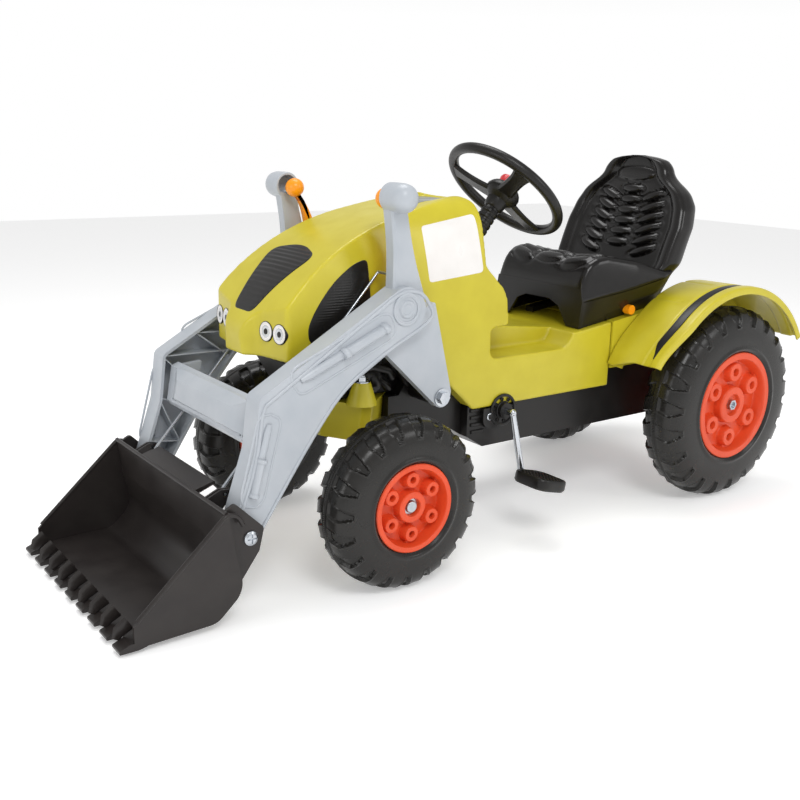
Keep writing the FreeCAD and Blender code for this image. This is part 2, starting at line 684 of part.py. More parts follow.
def front_bolt():
    """Zinc bolt and washer in the end of the left stub axle."""
    x = TRACK_HALF - RIM_RECESS - 16
    washer = disc(0, AXLE_FRONT_Z, STUB_R + 6, x + GAP, x + 2.4)
    shank = disc(0, AXLE_FRONT_Z, STUB_R - 3, x, x + 2.4)
    head = turned([(x + 2.4, 0), (x + 2.4, 10), (x + 8, 9, 2), (x + 8, 0)], 0, AXLE_FRONT_Z)
    return joined([washer, shank, head])


# ---------------------------------------------------------------- pedal drive
def sprocket_r(teeth):
    return TOOTH_PITCH / (2 * math.sin(math.pi / teeth))


def sprocket(y, z, teeth, bore):
    pitch_r = sprocket_r(teeth)
    points = []
    for i in range(teeth):
        for part, radius in ((0.0, pitch_r - 4), (0.3, pitch_r - 4), (0.55, pitch_r + 2),
                             (0.75, pitch_r + 2)):
            points.append(on_circle((y, z), radius, 360.0 * (i + part) / teeth))
    x0 = SPROCKET_X - SPROCKET_THICK / 2
    wheel = plate(points, x0, x0 + SPROCKET_THICK)
    hub = disc(y, z, AXLE_R + 8, x0 - 6, x0 + SPROCKET_THICK + 6)
    return less(joined([wheel, hub]), [disc(y, z, bore, -200, 200)])


def drive_chain():
    """The chain as one closed band round both sprockets."""
    def loop(extra):
        big = disc(CRANK_Y, CRANK_Z, sprocket_r(CRANK_TEETH) + extra, SPROCKET_X - 4, SPROCKET_X + 4)
        small = disc(WHEELBASE, AXLE_REAR_Z, sprocket_r(AXLE_TEETH) + extra, SPROCKET_X - 4,
                     SPROCKET_X + 4)
        r1, r2 = sprocket_r(CRANK_TEETH) + extra, sprocket_r(AXLE_TEETH) + extra
        run = V(0, WHEELBASE - CRANK_Y, AXLE_REAR_Z - CRANK_Z)
        base = math.degrees(math.atan2(run.z, run.y))
        spread = math.degrees(math.acos((r1 - r2) / run.Length))
        corners = [on_circle((CRANK_Y, CRANK_Z), r1, base + spread),
                   on_circle((WHEELBASE, AXLE_REAR_Z), r2, base + spread),
                   on_circle((WHEELBASE, AXLE_REAR_Z), r2, base - spread),
                   on_circle((CRANK_Y, CRANK_Z), r1, base - spread)]
        return joined([big, small, plate(corners, SPROCKET_X - 4, SPROCKET_X + 4)])
    return loop(9.0).cut(loop(2.0 + GAP))


def crank_point(side, distance, x):
    phase = CRANK_PHASE if side > 0 else CRANK_PHASE + 180
    y, z = on_circle((CRANK_Y, CRANK_Z), distance, phase)
    return V(x, y, z)


def crank_shaft():
    """One bent steel rod: shaft, two arms and two pedal spindles."""
    solids = [disc(CRANK_Y, CRANK_Z, AXLE_R, -CRANK_OUT, CRANK_OUT)]
    for side in (1, -1):
        hinge = crank_point(side, 0, side * CRANK_OUT)
        elbow = crank_point(side, CRANK_ARM, side * (CRANK_OUT + 12))
        end = crank_point(side, CRANK_ARM, side * (PEDAL_IN + PEDAL_WIDTH - 6))
        solids += [bar(hinge, elbow, AXLE_R), bar(elbow, end, AXLE_R - 1),
                   Part.makeSphere(AXLE_R + 1.0, hinge), Part.makeSphere(AXLE_R + 1.0, elbow)]
    return joined(solids)


def pedal(side):
    """Moulded pedal block with a bore for the spindle and rows of studs."""
    middle = crank_point(side, CRANK_ARM, 0)
    x0 = PEDAL_IN
    block = box(x0, x0 + PEDAL_WIDTH, middle.y - PEDAL_LENGTH / 2, middle.y + PEDAL_LENGTH / 2,
                middle.z - PEDAL_THICK / 2, middle.z + PEDAL_THICK / 2 - 3)
    upright = [e for e in block.Edges if abs(e.Vertexes[0].Z - e.Vertexes[1].Z) > 1]
    block = block.makeFillet(10, upright)
    studs = []
    for i in range(5):
        for j in range(5):
            x = x0 + 10 + i * (PEDAL_WIDTH - 20) / 4
            y = middle.y - PEDAL_LENGTH / 2 + 10 + j * (PEDAL_LENGTH - 20) / 4
            studs.append(bar(V(x, y, middle.z), V(x, y, middle.z + PEDAL_THICK / 2), 4))
    body = less(joined([block] + studs), [disc(middle.y, middle.z, AXLE_R - 1 + RUNNING, 0, 300)])
    if side < 0:
        body = mirrored(body)
    return turned_about_x(body, middle.y, middle.z, PEDAL_TILT)


def rear_axle():
    half = TRACK_HALF - RIM_RECESS - 10
    return disc(WHEELBASE, AXLE_REAR_Z, AXLE_R, -half, half)


def hub_nuts():
    result = []
    x = TRACK_HALF - RIM_RECESS - 16
    for sign in (1, -1):
        nut = plate([on_circle((WHEELBASE, AXLE_REAR_Z), 10.5, 60 * i) for i in range(6)],
                    *sorted((sign * x, sign * (x + 10))))
        result.append(less(nut, [disc(WHEELBASE, AXLE_REAR_Z, AXLE_R, -300, 300)]))
    return Part.makeCompound(result)


# ---------------------------------------------------------------- loader
def arm_outline():
    up = on_circle(BOSS, ARM_END_R - 4, ARM_ANGLE + 90)
    tip = on_circle(BOSS, 2 * ARM_END_R, ARM_ANGLE)
    top_tip = (up[0] + tip[0] - BOSS[0], up[1] + tip[1] - BOSS[1], ARM_END_R)
    down = on_circle(BOSS, ARM_END_R, ARM_ANGLE - 90)
    low_tip = (down[0] + (tip[0] - BOSS[0]) * 0.45, down[1] + (tip[1] - BOSS[1]) * 0.45, ARM_END_R)
    top_tip = (up[0] + (tip[0] - BOSS[0]) * 0.45, up[1] + (tip[1] - BOSS[1]) * 0.45, ARM_END_R)
    foot = BUCKET_BOLT
    return [(-222.5, 322, 14), top_tip, low_tip, (-12, 358, 60), (-88, 312, 60), (-150, 236, 80),
            (foot[0] + 21, foot[1] - 4, 20), (foot[0] - 4, foot[1] - 26, 20),
            (foot[0] - 25, foot[1] + 4, 22),
            (-232, 244, 60)]


def arm():
    """Left arm: web on the outer side, rim all round, crossed ribs and tubes for the bolts."""
    points = arm_outline()
    block = plate(points, ARM_IN, ARM_OUT)
    face = Part.Face(outline(points, yz(ARM_IN)))
    inner = face.makeOffset2D(-5.0).extrude(V(ARM_OUT - ARM_WEB - ARM_IN, 0, 0))
    arm_solid = block.cut(inner)
    keep = [arm_solid]
    tubes = [(BOSS, 17), (BUCKET_BOLT, 13)]
    for centre, radius in tubes:
        keep.append(disc(centre[0], centre[1], radius, ARM_IN, ARM_OUT - 1))
    ribs = [((-222, 318), (-96, 316)), ((-160, 352), (-100, 306)), ((-160, 352), (-40, 346)),
            ((-100, 388), (-46, 338)), ((-100, 388), (20, 384)), ((-30, 424), (8, 378)),
            ((-222, 318), (-146, 244)),
            ((-232, 250), (-168, 220)), ((-232, 250), (-196, 168)), ((-256, 176), (-196, 168))]
    for start, end in ribs:
        rib_dir = V(0, end[0] - start[0], end[1] - start[1])
        side = V(0, -rib_dir.z, rib_dir.y)
        side.normalize()
        a, b = V(ARM_IN + 6, *start), V(ARM_IN + 6, *end)
        wire = Part.makePolygon([a + side, b + side, b - side, a - side, a + side])
        keep.append(Part.Face(wire).extrude(V(ARM_OUT - ARM_IN - 8, 0, 0)))
    solid = joined(keep).common(block)
    relief = disc(BOSS[0], BOSS[1], 24, ARM_OUT - 0.5, ARM_OUT + 2)
    relief = relief.cut(disc(BOSS[0], BOSS[1], 19, ARM_OUT, ARM_OUT + 3))
    solid = joined([solid, relief, disc(BOSS[0], BOSS[1], 10, ARM_OUT - 1, ARM_OUT + 2)])
    return less(solid, [disc(BOSS[0], BOSS[1], LEVER_PIN_R + RUNNING, 0, ARM_OUT - 8),
                        disc(*BUCKET_BOLT, BUCKET_BOLT_R + RUNNING, 0, 300)])


def strut():
    points = [(-18, 380, 4), (98, 432, 4), (PIVOT[0] + 19, PIVOT[1] + 6, 16),
              (PIVOT[0] + 10, PIVOT[1] - 20, 16),
              (PIVOT[0] - 18, PIVOT[1] - 6, 16)]
    body = plate(points, STRUT_IN, STRUT_OUT)
    face = Part.Face(outline(points, yz(STRUT_IN - 1)))
    pocket = face.makeOffset2D(-6.0).extrude(V(STRUT_OUT - STRUT_IN - 3, 0, 0))
    body = joined([body.cut(pocket), disc(PIVOT[0], PIVOT[1], 17, STRUT_IN, STRUT_OUT)])
    arm_room = plate(arm_outline(), ARM_IN - 1, ARM_OUT)
    return less(body, [arm_room, disc(PIVOT[0], PIVOT[1], PIVOT_R + RUNNING, 0, 300)])


def handle():
    """Left handle: tapered neck up from the arm with a domed knob across its top."""
    points = [(KNOB[0] - 18, KNOB[1] - 12, 4), (KNOB[0] + 20, KNOB[1] - 12, 4), (92, 448, 18),
              (66, 424, 4),
              (KNOB[0] - 18, 420)]
    neck = plate(points, 150.5, 172)
    face = Part.Face(outline(points, yz(149)))
    neck = neck.cut(face.makeOffset2D(-4.0).extrude(V(19, 0, 0)))
    knob = turned([(KNOB_IN, 0), (KNOB_IN, KNOB_R, 3), (KNOB_OUT, KNOB_R, 12),
                   (KNOB_OUT + 14, KNOB_R * 0.75, 10),
                   (KNOB_OUT + 21, 0)], *KNOB)
    hollow = disc(KNOB[0], KNOB[1], KNOB_R - 4, KNOB_IN - 1, KNOB_IN + 24)
    arm_room = plate(arm_outline(), ARM_IN - 1, ARM_OUT + 1)
    return less(joined([neck, knob]).cut(hollow), [arm_room])


def cross_beam():
    """Channel across the elbows of both arms."""
    t = BEAM_WALL
    half = ARM_IN - 0.2
    flange = (BEAM_TOP[0] + BEAM_FLANGE, BEAM_TOP[1] + 5)
    foot = (BEAM_LOW[0] + 5, BEAM_LOW[1] - 4)
    front = [BEAM_TOP, flange, (flange[0], flange[1] - t), (BEAM_TOP[0] + t, BEAM_TOP[1] - t),
             (BEAM_LOW[0] + t, BEAM_LOW[1] + 2), foot, (foot[0], foot[1] - t), BEAM_LOW]
    channel = plate(front, -half, half)
    ends = []
    for sign in (1, -1):
        x0, x1 = sorted((sign * (half - 10), sign * half))
        ends.append(plate([BEAM_TOP, (BEAM_TOP[0] + 50, BEAM_TOP[1] + 4),
                           (BEAM_LOW[0] + 48, BEAM_LOW[1] + 6), BEAM_LOW],
                          x0, x1))
    slots = []
    for sign in (1, -1):
        for z in (254, 290):
            for dx in (0, 9):
                x0, x1 = sorted((sign * (half - 34 + dx), sign * (half - 29 + dx)))
                slots.append(box(x0, x1, -260, -190, z - 4, z + 4))
    return less(joined([channel] + ends), slots)


def lug_offset(centre):
    return on_circle(centre, LUG_ARM, LUG_ANGLE)


def trigger():
    """Left orange lever: eye on the boss pin, forked stem and a rounded grip."""
    top = (KNOB[0] + 4, KNOB[1] - 3)
    stem = plate([(BOSS[0] - 13, BOSS[1], 6), (top[0] - 9, top[1] - 6, 3), (top[0] + 9, top[1] - 6, 3),
                  (BOSS[0] + 13, BOSS[1], 6)], LEVER_IN, LEVER_OUT)
    slot = plate([(BOSS[0] - 5, BOSS[1] + 76, 2), (top[0] - 3.5, top[1] - 22, 2),
                  (top[0] + 3.5, top[1] - 22, 2),
                  (BOSS[0] + 4, BOSS[1] + 76, 2)], LEVER_IN - 1, LEVER_OUT + 1)
    eye = disc(BOSS[0], BOSS[1], 14, LEVER_IN, LEVER_OUT)
    grip = turned([(LEVER_IN - 8, 0), (LEVER_IN - 8, LEVER_BALL_R, 10), (LEVER_OUT + 9, LEVER_BALL_R, 10),
                   (LEVER_OUT + 9, 0)], *top)
    pin = disc(BOSS[0], BOSS[1], LEVER_PIN_R, LEVER_OUT - 1, ARM_OUT - 10)
    hook = lug_offset(BOSS)
    lever = joined([stem.cut(slot), eye, grip, pin])
    return less(lever, [disc(hook[0], hook[1], ROD_R + RUNNING, 0, 300)])


def tilt_rod():
    """Thin steel rod from the lever to the bucket's lug, with a bent end at each."""
    upper = lug_offset(BOSS)
    lower = lug_offset(BUCKET_BOLT)
    top = V(ROD_X, *upper)
    low = V(ROD_X, *lower)
    return joined([bar(top, low, ROD_R), Part.makeSphere(ROD_R, top), Part.makeSphere(ROD_R, low),
                   bar(top, top + V(LEVER_OUT + 2 - ROD_X, 0, 0), ROD_R),
                   bar(low, low + V(16, 0, 0), ROD_R)])


# ---------------------------------------------------------------- bucket
def bucket_outline(inset):
    i = inset
    return [(BUCKET_BACK_TOP[0] - 1.4 * i, BUCKET_BACK_TOP[1] + (30 if i else 0)),
            (BUCKET_HEEL[0] - 14 - i, 112, 60),
            (BUCKET_HEEL[0] - i, BUCKET_HEEL[1] + 26, 36), (BUCKET_HEEL[0] - 44, BUCKET_HEEL[1] - 14 + i,
                                                            30),
            (BUCKET_LIP[0] - (60 if i else 0), 8 + i), (BUCKET_LIP[0] - (60 if i else 0),
                                                        BUCKET_LIP[1] + (80 if i else 0))]


def bucket():
    """Scoop with thick side rims, a back flange, ears outside the arms and rod lugs."""
    shell = plate(bucket_outline(0), -BUCKET_HALF, BUCKET_HALF)
    hollow = plate(bucket_outline(BUCKET_WALL), -BUCKET_HALF + BUCKET_WALL, BUCKET_HALF - BUCKET_WALL)
    mouth = plate([(BUCKET_BACK_TOP[0] - 9, BUCKET_BACK_TOP[1] + 1), (BUCKET_BACK_TOP[0] - 9, 260),
                   (-520, 260), (-520, 14),
                   (BUCKET_LIP[0] - 1, 14), (BUCKET_LIP[0] - 1, BUCKET_LIP[1])],
                  -BUCKET_HALF + BUCKET_WALL, BUCKET_HALF - BUCKET_WALL)
    scoop = shell.cut(joined([hollow.common(plate(bucket_outline(0), -300, 300)), mouth]))
    flange = plate([(BUCKET_BACK_TOP[0] - 4, BUCKET_BACK_TOP[1] - 1),
                    (BUCKET_BACK_TOP[0] + 32, BUCKET_BACK_TOP[1] + 9, 3),
                    (BUCKET_BACK_TOP[0] + 32, BUCKET_BACK_TOP[1] + 4),
                    (BUCKET_BACK_TOP[0] - 2, BUCKET_BACK_TOP[1] - 9)],
                   -100, 100)
    solids = [scoop, flange]
    lug = lug_offset(BUCKET_BOLT)
    for sign in (1, -1):
        x0, x1 = sorted((sign * EAR_X, sign * (EAR_X + EAR_THICK)))
        ear = plate([(BUCKET_BACK_TOP[0] - 2, BUCKET_BACK_TOP[1] - 4, 4),
                     (BUCKET_BACK_TOP[0] + 16, BUCKET_BACK_TOP[1] + 6, 6),
                     (BUCKET_BOLT[0] + 22, BUCKET_BOLT[1] + 12, 8),
                     (BUCKET_BOLT[0] + 14, BUCKET_BOLT[1] - 22, 8),
                     (BUCKET_HEEL[0] - 3, BUCKET_HEEL[1] + 30)], x0, x1)
        solids.append(ear)
        for x in (ROD_X + 6, ROD_X + 13):
            lx0, lx1 = sorted((sign * x, sign * (x + 4)))
            solids.append(plate([(BUCKET_BACK_TOP[0] - 3, BUCKET_BACK_TOP[1] - 5),
                                 (lug[0] - 7, lug[1] + 8, 5),
                                 (lug[0] + 9, lug[1] + 6, 5), (lug[0] + 7, lug[1] - 9, 5),
                                 (BUCKET_BACK_TOP[0] + 3, BUCKET_BACK_TOP[1] - 44)], lx0, lx1))
    spacing = (2 * BUCKET_HALF - TOOTH_WIDTH) / (TEETH - 1)
    for i in range(TEETH):
        x = -BUCKET_HALF + i * spacing
        solids.append(plate([(BUCKET_LIP[0] + 18, 8), (BUCKET_LIP[0] + 18, 16),
                             (BUCKET_LIP[0] - 6, 17, 2),
                             (TOOTH_TIP_Y, TOOTH_LOW + 5, 2), (TOOTH_TIP_Y, TOOTH_LOW, 2),
                             (BUCKET_LIP[0] + 6, TOOTH_LOW, 2)],
                            x, x + TOOTH_WIDTH))
    body = joined(solids)
    holes = [disc(*BUCKET_BOLT, BUCKET_BOLT_R, -300, 300)]
    for sign in (1, -1):
        lo, hi = sorted((sign * (ROD_X + 4), sign * (ROD_X + 20)))
        holes.append(disc(lug[0], lug[1], ROD_R + 2.0, lo, hi))
    return less(body, holes)


def bucket_bolts():
    """Zinc cross-head bolt through each ear and arm."""
    result = []
    for sign in (1, -1):
        shank = disc(*BUCKET_BOLT, BUCKET_BOLT_R, *sorted((sign * (ARM_IN - 6),
                                                           sign * (EAR_X + EAR_THICK))))
        x = EAR_X + EAR_THICK
        head = turned([(x, 0), (x, 11), (x + 2.5, 11, 1), (x + 5, 7, 2), (x + 5, 0)], *BUCKET_BOLT)
        for w, d in ((7, 1.2), (1.2, 7)):
            head = head.cut(box(x + 3, x + 6, BUCKET_BOLT[0] - w, BUCKET_BOLT[0] + w, BUCKET_BOLT[1] - d,
                                BUCKET_BOLT[1] + d))
        nut = turned([(ARM_IN - 6, 0), (ARM_IN - 6, 10), (ARM_IN - GAP, 10), (ARM_IN - GAP, 0)],
                     *BUCKET_BOLT)
        if sign < 0:
            head, nut = mirrored(head), mirrored(nut)
        result.append(joined([shank, head, nut]))
    return Part.makeCompound(result)


# ---------------------------------------------------------------- seat
def seat_outline(i):
    foot = deck_z(SEAT_FRONT_Y) + SEAT_CLEAR
    drop = 12 if i else 0
    return [(SEAT_FRONT_Y + i, foot - drop), (SEAT_FRONT_Y + 4 + i, 428 - i, 14), (506, 462 - i, 24),
            (600, 440 - i, 60),
            (668 + i, 446 - i, 40), (700 + i, 560, 120), (716 + i, SEAT_TOP - i, 18),
            (752 - i, SEAT_TOP - 4 - i, 18),
            (756 - i, 560, 100), (736 - i, 448, 60), (690 - i, deck_z(690) + SEAT_CLEAR - drop)]


def seat_shell():
    """Moulded seat, hollow and open below, wide at the hips and narrow at the head."""
    def block(i):
        front = [(-SEAT_FOOT_HALF + i, 320), (-SEAT_FOOT_HALF + i, 426), (-SEAT_HALF + i, 462, 20),
                 (-SEAT_HALF + i, 556, 50),
                 (-86 + i, 600, 30), (-70 + i, SEAT_TOP - i, 36), (70 - i, SEAT_TOP - i, 36),
                 (86 - i, 600, 30),
                 (SEAT_HALF - i, 556, 50), (SEAT_HALF - i, 462, 20), (SEAT_FOOT_HALF - i, 426),
                 (SEAT_FOOT_HALF - i, 320)]
        solid = plate(seat_outline(i), -SEAT_HALF, SEAT_HALF)
        return solid.common(prism(front, xz(400), V(0, 500, 0)))
    shell = block(0).cut(block(SEAT_WALL))
    latch_hole = disc(598, deck_z(598) + 14, 4 + GAP, 90, 200)
    return less(shell, [latch_hole])


def seat_latch():
    """Orange pull knob on a pin through the left skirt of the seat."""
    z = deck_z(598) + 14
    knob = disc(598, z, LATCH_R, SEAT_FOOT_HALF + GAP, SEAT_FOOT_HALF + 15)
    pin = disc(598, z, 4, 76, SEAT_FOOT_HALF + 2)
    return joined([knob, pin])


# ---------------------------------------------------------------- the whole toy
def build():
    nodes = {}
    nodes["chassis_tub"] = chassis_tub()
    nodes["engine_moulding"] = engine_moulding()
    nodes["body_shell"] = body_shell()
    nodes["rear_deck"] = rear_deck()
    windows = grille_windows()
    nodes["front_grille"] = grille_body(windows[0])
    nodes["side_grilles"] = Part.makeCompound([grille_body(w) for w in windows[1:]])
    nodes["headlamps"] = headlamps()
    nodes["side_panels"] = side_panels()
    nodes["dashboard_plate"] = dashboard_plate()
    nodes["fender_left"] = fender()
    nodes["fender_right"] = mirrored(fender())
    nodes["fender_stripes"] = fender_stripes()
    nodes["axle_carrier"] = axle_carrier()
    nodes["kingpins"] = kingpins()
    nodes["column_bush"] = column_bush()
    nodes["crank_plates"] = crank_plates()
    nodes["axle_bushes"] = axle_bushes()
    nodes["drive_chain"] = drive_chain()
    nodes["seat_rails"] = seat_rails()
    nodes["tow_hitch"] = tow_hitch()
    nodes["pivot_bolts"] = pivot_bolts()

    nodes["steering_wheel"] = steering_wheel()
    nodes["steering_shaft"] = steering_shaft()
    nodes["horn_button"] = horn_button()
    nodes["tie_rod"] = tie_rod()
    pairs = {"knuckle": knuckle(), "front_bolt": front_bolt(), "arm": arm(), "strut": strut(),
             "handle": handle(),
             "trigger": trigger(), "tilt_rod": tilt_rod(),
             "front_tyre": tyre(0, AXLE_FRONT_Z, FRONT_TYRE_R, FRONT_TYRE_WIDTH, FRONT_RIM_R, FRONT_LUGS),
             "front_rim": rim(0, AXLE_FRONT_Z, FRONT_TYRE_WIDTH, FRONT_RIM_R, STUB_R + RUNNING, 6),
             "rear_tyre": tyre(WHEELBASE, AXLE_REAR_Z, REAR_TYRE_R, REAR_TYRE_WIDTH, REAR_RIM_R,
                               REAR_LUGS),
             "rear_rim": rim(WHEELBASE, AXLE_REAR_Z, REAR_TYRE_WIDTH, REAR_RIM_R, AXLE_R, 6)}
    for name, shape in pairs.items():
        nodes[name + "_left"] = shape
        nodes[name + "_right"] = mirrored(shape)
    nodes["rear_axle"] = rear_axle()
    nodes["hub_nuts"] = hub_nuts()
    nodes["rear_sprocket"] = sprocket(WHEELBASE, AXLE_REAR_Z, AXLE_TEETH, AXLE_R)
    nodes["crank_shaft"] = crank_shaft()
    nodes["crank_sprocket"] = sprocket(CRANK_Y, CRANK_Z, CRANK_TEETH, AXLE_R)
    nodes["pedal_left"] = pedal(1)
    nodes["pedal_right"] = pedal(-1)
    nodes["cross_beam"] = cross_beam()
    nodes["bucket"] = bucket()
    nodes["bucket_bolts"] = bucket_bolts()
    nodes["seat_shell"] = seat_shell()
    nodes["seat_latch"] = seat_latch()
    return nodes


def main():
    nodes = build()
    front = nodes["bucket"].optimalBoundingBox(False).YMin
    rear = nodes["fender_left"].optimalBoundingBox(False).YMax
    shift = V(0, -(front + rear) / 2, 0)
    os.makedirs("parts", exist_ok=True)
    print("shift along y %.3f, length %.1f" % (shift.y, rear - front))
    for name, shape in sorted(nodes.items()):
        placed = shape.copy()
        placed.translate(shift)
        placed.exportStep("parts/" + name + ".step")
        print("%-18s solids %d  volume %10.0f  valid %s" % (name, len(placed.Solids), placed.Volume,
                                                            placed.isValid()))


main()
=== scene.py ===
import bmesh
import bpy
import math
import numpy as np
from mathutils import Matrix, Vector
from mathutils.bvhtree import BVHTree


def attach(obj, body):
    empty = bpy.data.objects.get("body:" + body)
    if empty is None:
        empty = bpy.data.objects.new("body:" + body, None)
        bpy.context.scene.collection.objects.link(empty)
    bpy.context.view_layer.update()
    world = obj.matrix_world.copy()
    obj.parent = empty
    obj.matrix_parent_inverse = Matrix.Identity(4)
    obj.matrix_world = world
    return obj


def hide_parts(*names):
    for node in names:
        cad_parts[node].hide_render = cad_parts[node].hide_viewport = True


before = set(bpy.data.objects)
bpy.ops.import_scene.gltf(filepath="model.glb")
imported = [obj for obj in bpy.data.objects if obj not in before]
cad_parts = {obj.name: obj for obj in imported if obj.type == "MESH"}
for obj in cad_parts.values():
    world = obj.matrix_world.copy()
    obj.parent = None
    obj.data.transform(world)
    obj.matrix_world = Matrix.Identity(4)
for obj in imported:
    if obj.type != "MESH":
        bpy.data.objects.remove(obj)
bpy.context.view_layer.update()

# Drawn in millimetres from the front axle (y) and the ground (z); stored in metres in the row frame.
AXLE_Y = -0.26036
WHEELBASE = 772.0
TRACK_HALF = 262.0                     # middle of the tractor to the outer face of a tyre
FRONT_WHEEL = dict(y=0.0, z=137.0, radius=137.0, width=92.0, rim=71.0, pockets=20)
REAR_WHEEL = dict(y=WHEELBASE, z=188.0, radius=188.0, width=96.0, rim=105.0, pockets=22)
BOSS = (29.7, 428.2)                   # arm, strut, handle and lever meet here, y and z
KNOB = (18, 593)                       # middle of a hand grip, y and z
ARM_OUT = 185.0                        # outer face of an arm
FENDER_R = 229.0
FENDER_IN = 126                        # inner edge of a fender
WHEEL_CENTRE = (381.0, 588.0)          # steering wheel, y and z
WHEEL_TILT = math.radians(42.0)
CRANK_CENTRE = (288, 219)              # pedal crank's shaft, y and z
CRANK_ARM = 110
CRANK_PHASE = math.radians(-81)
CRANK_COVER_X = 126.2                  # outer face of the crank's bearing plate
PEDAL_TILT = math.radians(14)
PEDAL_X = 212.0
SEAT_FRONT, SEAT_REAR = 477, 706
BLOTCH_MM = 45.0                       # size of the slow changes in tint and gloss
VOXEL_MM = 2.6                         # mesh step of the carved body
ROUNDING_PASSES = 5


# ------------------------------------------------------------------ small maths
def smooth(a, b, x):
    """Soft step from 0 where x is a to 1 where x is b."""
    t = np.clip((np.asarray(x, float) - a) / (b - a), 0.0, 1.0)
    return t * t * (3 - 2 * t)


def rounded(points, steps=5):
    """Points of a path with its corners (a, b, radius) turned into arcs of even counts."""
    result = []
    for i, corner in enumerate(points):
        p = np.array(corner[:2], float)
        radius = corner[2] if len(corner) > 2 else 0.0
        if radius <= 0 or i in (0, len(points) - 1):
            result += [p] * (1 if i in (0, len(points) - 1) else steps + 1)
            continue
        a = np.array(points[i - 1][:2], float) - p
        b = np.array(points[i + 1][:2], float) - p
        back = min(radius, 0.48 * np.linalg.norm(a), 0.48 * np.linalg.norm(b))
        a = p + a / np.linalg.norm(a) * back
        b = p + b / np.linalg.norm(b) * back
        for k in range(steps + 1):
            t = k / steps
            result.append((1 - t) ** 2 * a + 2 * t * (1 - t) * p + t ** 2 * b)
    return np.array(result)


def resampled(path, count):
    """The same path in even steps."""
    path = np.asarray(path, float)
    run = np.concatenate([[0], np.cumsum(np.linalg.norm(np.diff(path, axis=0), axis=1))])
    at = np.linspace(0, run[-1], count)
    return np.stack([np.interp(at, run, path[:, k]) for k in range(path.shape[1])], axis=1)


# ------------------------------------------------------------------ meshes
def new_object(name, verts, faces, sharp=40.0):
    """Object from points in millimetres, shaded smooth except at edges sharper than an angle in degrees."""
    mesh = bpy.data.meshes.new(name)
    points = np.asarray(verts, float) * 0.001
    points[:, 1] += AXLE_Y
    mesh.from_pydata(points.tolist(), [], faces)
    mesh.validate()
    mesh.shade_smooth()
    mesh.set_sharp_from_angle(angle=math.radians(sharp))
    obj = bpy.data.objects.new(name, mesh)
    bpy.context.scene.collection.objects.link(obj)
    return obj


def sheet(grid, close_u=False, close_v=False, flip=False, start=0):
    """Vertices and faces of a (rows, columns, 3) grid."""
    rows, cols = grid.shape[:2]
    faces = []
    for i in range(rows if close_u else rows - 1):
        for j in range(cols if close_v else cols - 1):
            a, b = i * cols + j, i * cols + (j + 1) % cols
            c, d = ((i + 1) % rows) * cols + (j + 1) % cols, ((i + 1) % rows) * cols + j
            faces.append((a + start, b + start, c + start, d + start) if not flip
                         else (d + start, c + start, b + start, a + start))
    return grid.reshape(-1, 3), faces


class Build:
    """Collects grids and solids into one mesh."""

    def __init__(self):
        self.verts = []
        self.faces = []
        self.count = 0

    def add(self, verts, faces):
        """Loose vertices and faces, counted from the ones already here."""
        verts = np.asarray(verts, float).reshape(-1, 3)
        self.faces += [tuple(k + self.count for k in f) for f in faces]
        self.verts.append(verts)
        self.count += len(verts)
        return self

    def grid(self, grid, **how):
        """An open or closed sheet of points."""
        verts, faces = sheet(np.asarray(grid, float), **how)
        return self.add(verts, faces)

    def loft(self, loops, caps=True):
        """Closed loops of equal counts, joined into a closed solid."""
        loops = np.asarray(loops, float)
        rows, cols = loops.shape[:2]
        verts, faces = sheet(loops, close_v=True)
        if caps:
            faces.append(tuple(range(cols))[::-1])
            faces.append(tuple((rows - 1) * cols + k for k in range(cols)))
        return self.add(verts, faces)

    def tube(self, path, radii, around=16, flat=(1.0, 1.0), up=(0, 0, 1)):
        """A tube of changing radius along a path."""
        path = np.asarray(path, float)
        radii = np.broadcast_to(radii, len(path))
        loops = []
        for i, p in enumerate(path):
            along = path[min(i + 1, len(path) - 1)] - path[max(i - 1, 0)]
            along = along / np.linalg.norm(along)
            side = np.cross(along, up)
            side = side / max(np.linalg.norm(side), 1e-9)
            over = np.cross(side, along)
            t = np.linspace(0, 2 * math.pi, around, endpoint=False)
            ring = flat[0] * np.outer(np.cos(t), side) + flat[1] * np.outer(np.sin(t), over)
            loops.append(p + radii[i] * ring)
        return self.loft(loops)

    def lathe(self, profile, centre, axis=(1, 0, 0), around=48):
        """A profile of (along, radius) turned about an axis through centre."""
        axis = np.asarray(axis, float)
        axis = axis / np.linalg.norm(axis)
        side = np.cross(axis, (0, 0, 1)) if abs(axis[2]) < 0.9 else np.cross(axis, (0, 1, 0))
        side = side / np.linalg.norm(side)
        over = np.cross(axis, side)
        t = np.linspace(0, 2 * math.pi, around, endpoint=False)
        ring = np.outer(np.cos(t), side) + np.outer(np.sin(t), over)
        profile = np.asarray(profile, float)
        along, radius = profile[:, 0][:, None, None], profile[:, 1][:, None, None]
        grid = np.asarray(centre, float) + along * axis + radius * ring
        verts, faces = sheet(grid, close_v=True)
        return self.add(verts, faces)

    def done(self, name, mirror=False, sharp=40.0):
        """The finished object, on the rider's right side when mirrored."""
        verts = np.concatenate(self.verts)
        faces = self.faces
        if mirror:
            verts = verts * (-1, 1, 1)
            faces = [f[::-1] for f in faces]
        return new_object(name, verts, faces, sharp)


# ------------------------------------------------------------------ materials
def colour(code):
    """Linear colour of an sRGB hex code."""
    parts = [int(code[i:i + 2], 16) / 255 for i in (0, 2, 4)]
    return [p / 12.92 if p <= 0.04045 else ((p + 0.055) / 1.055) ** 2.4 for p in parts] + [1.0]


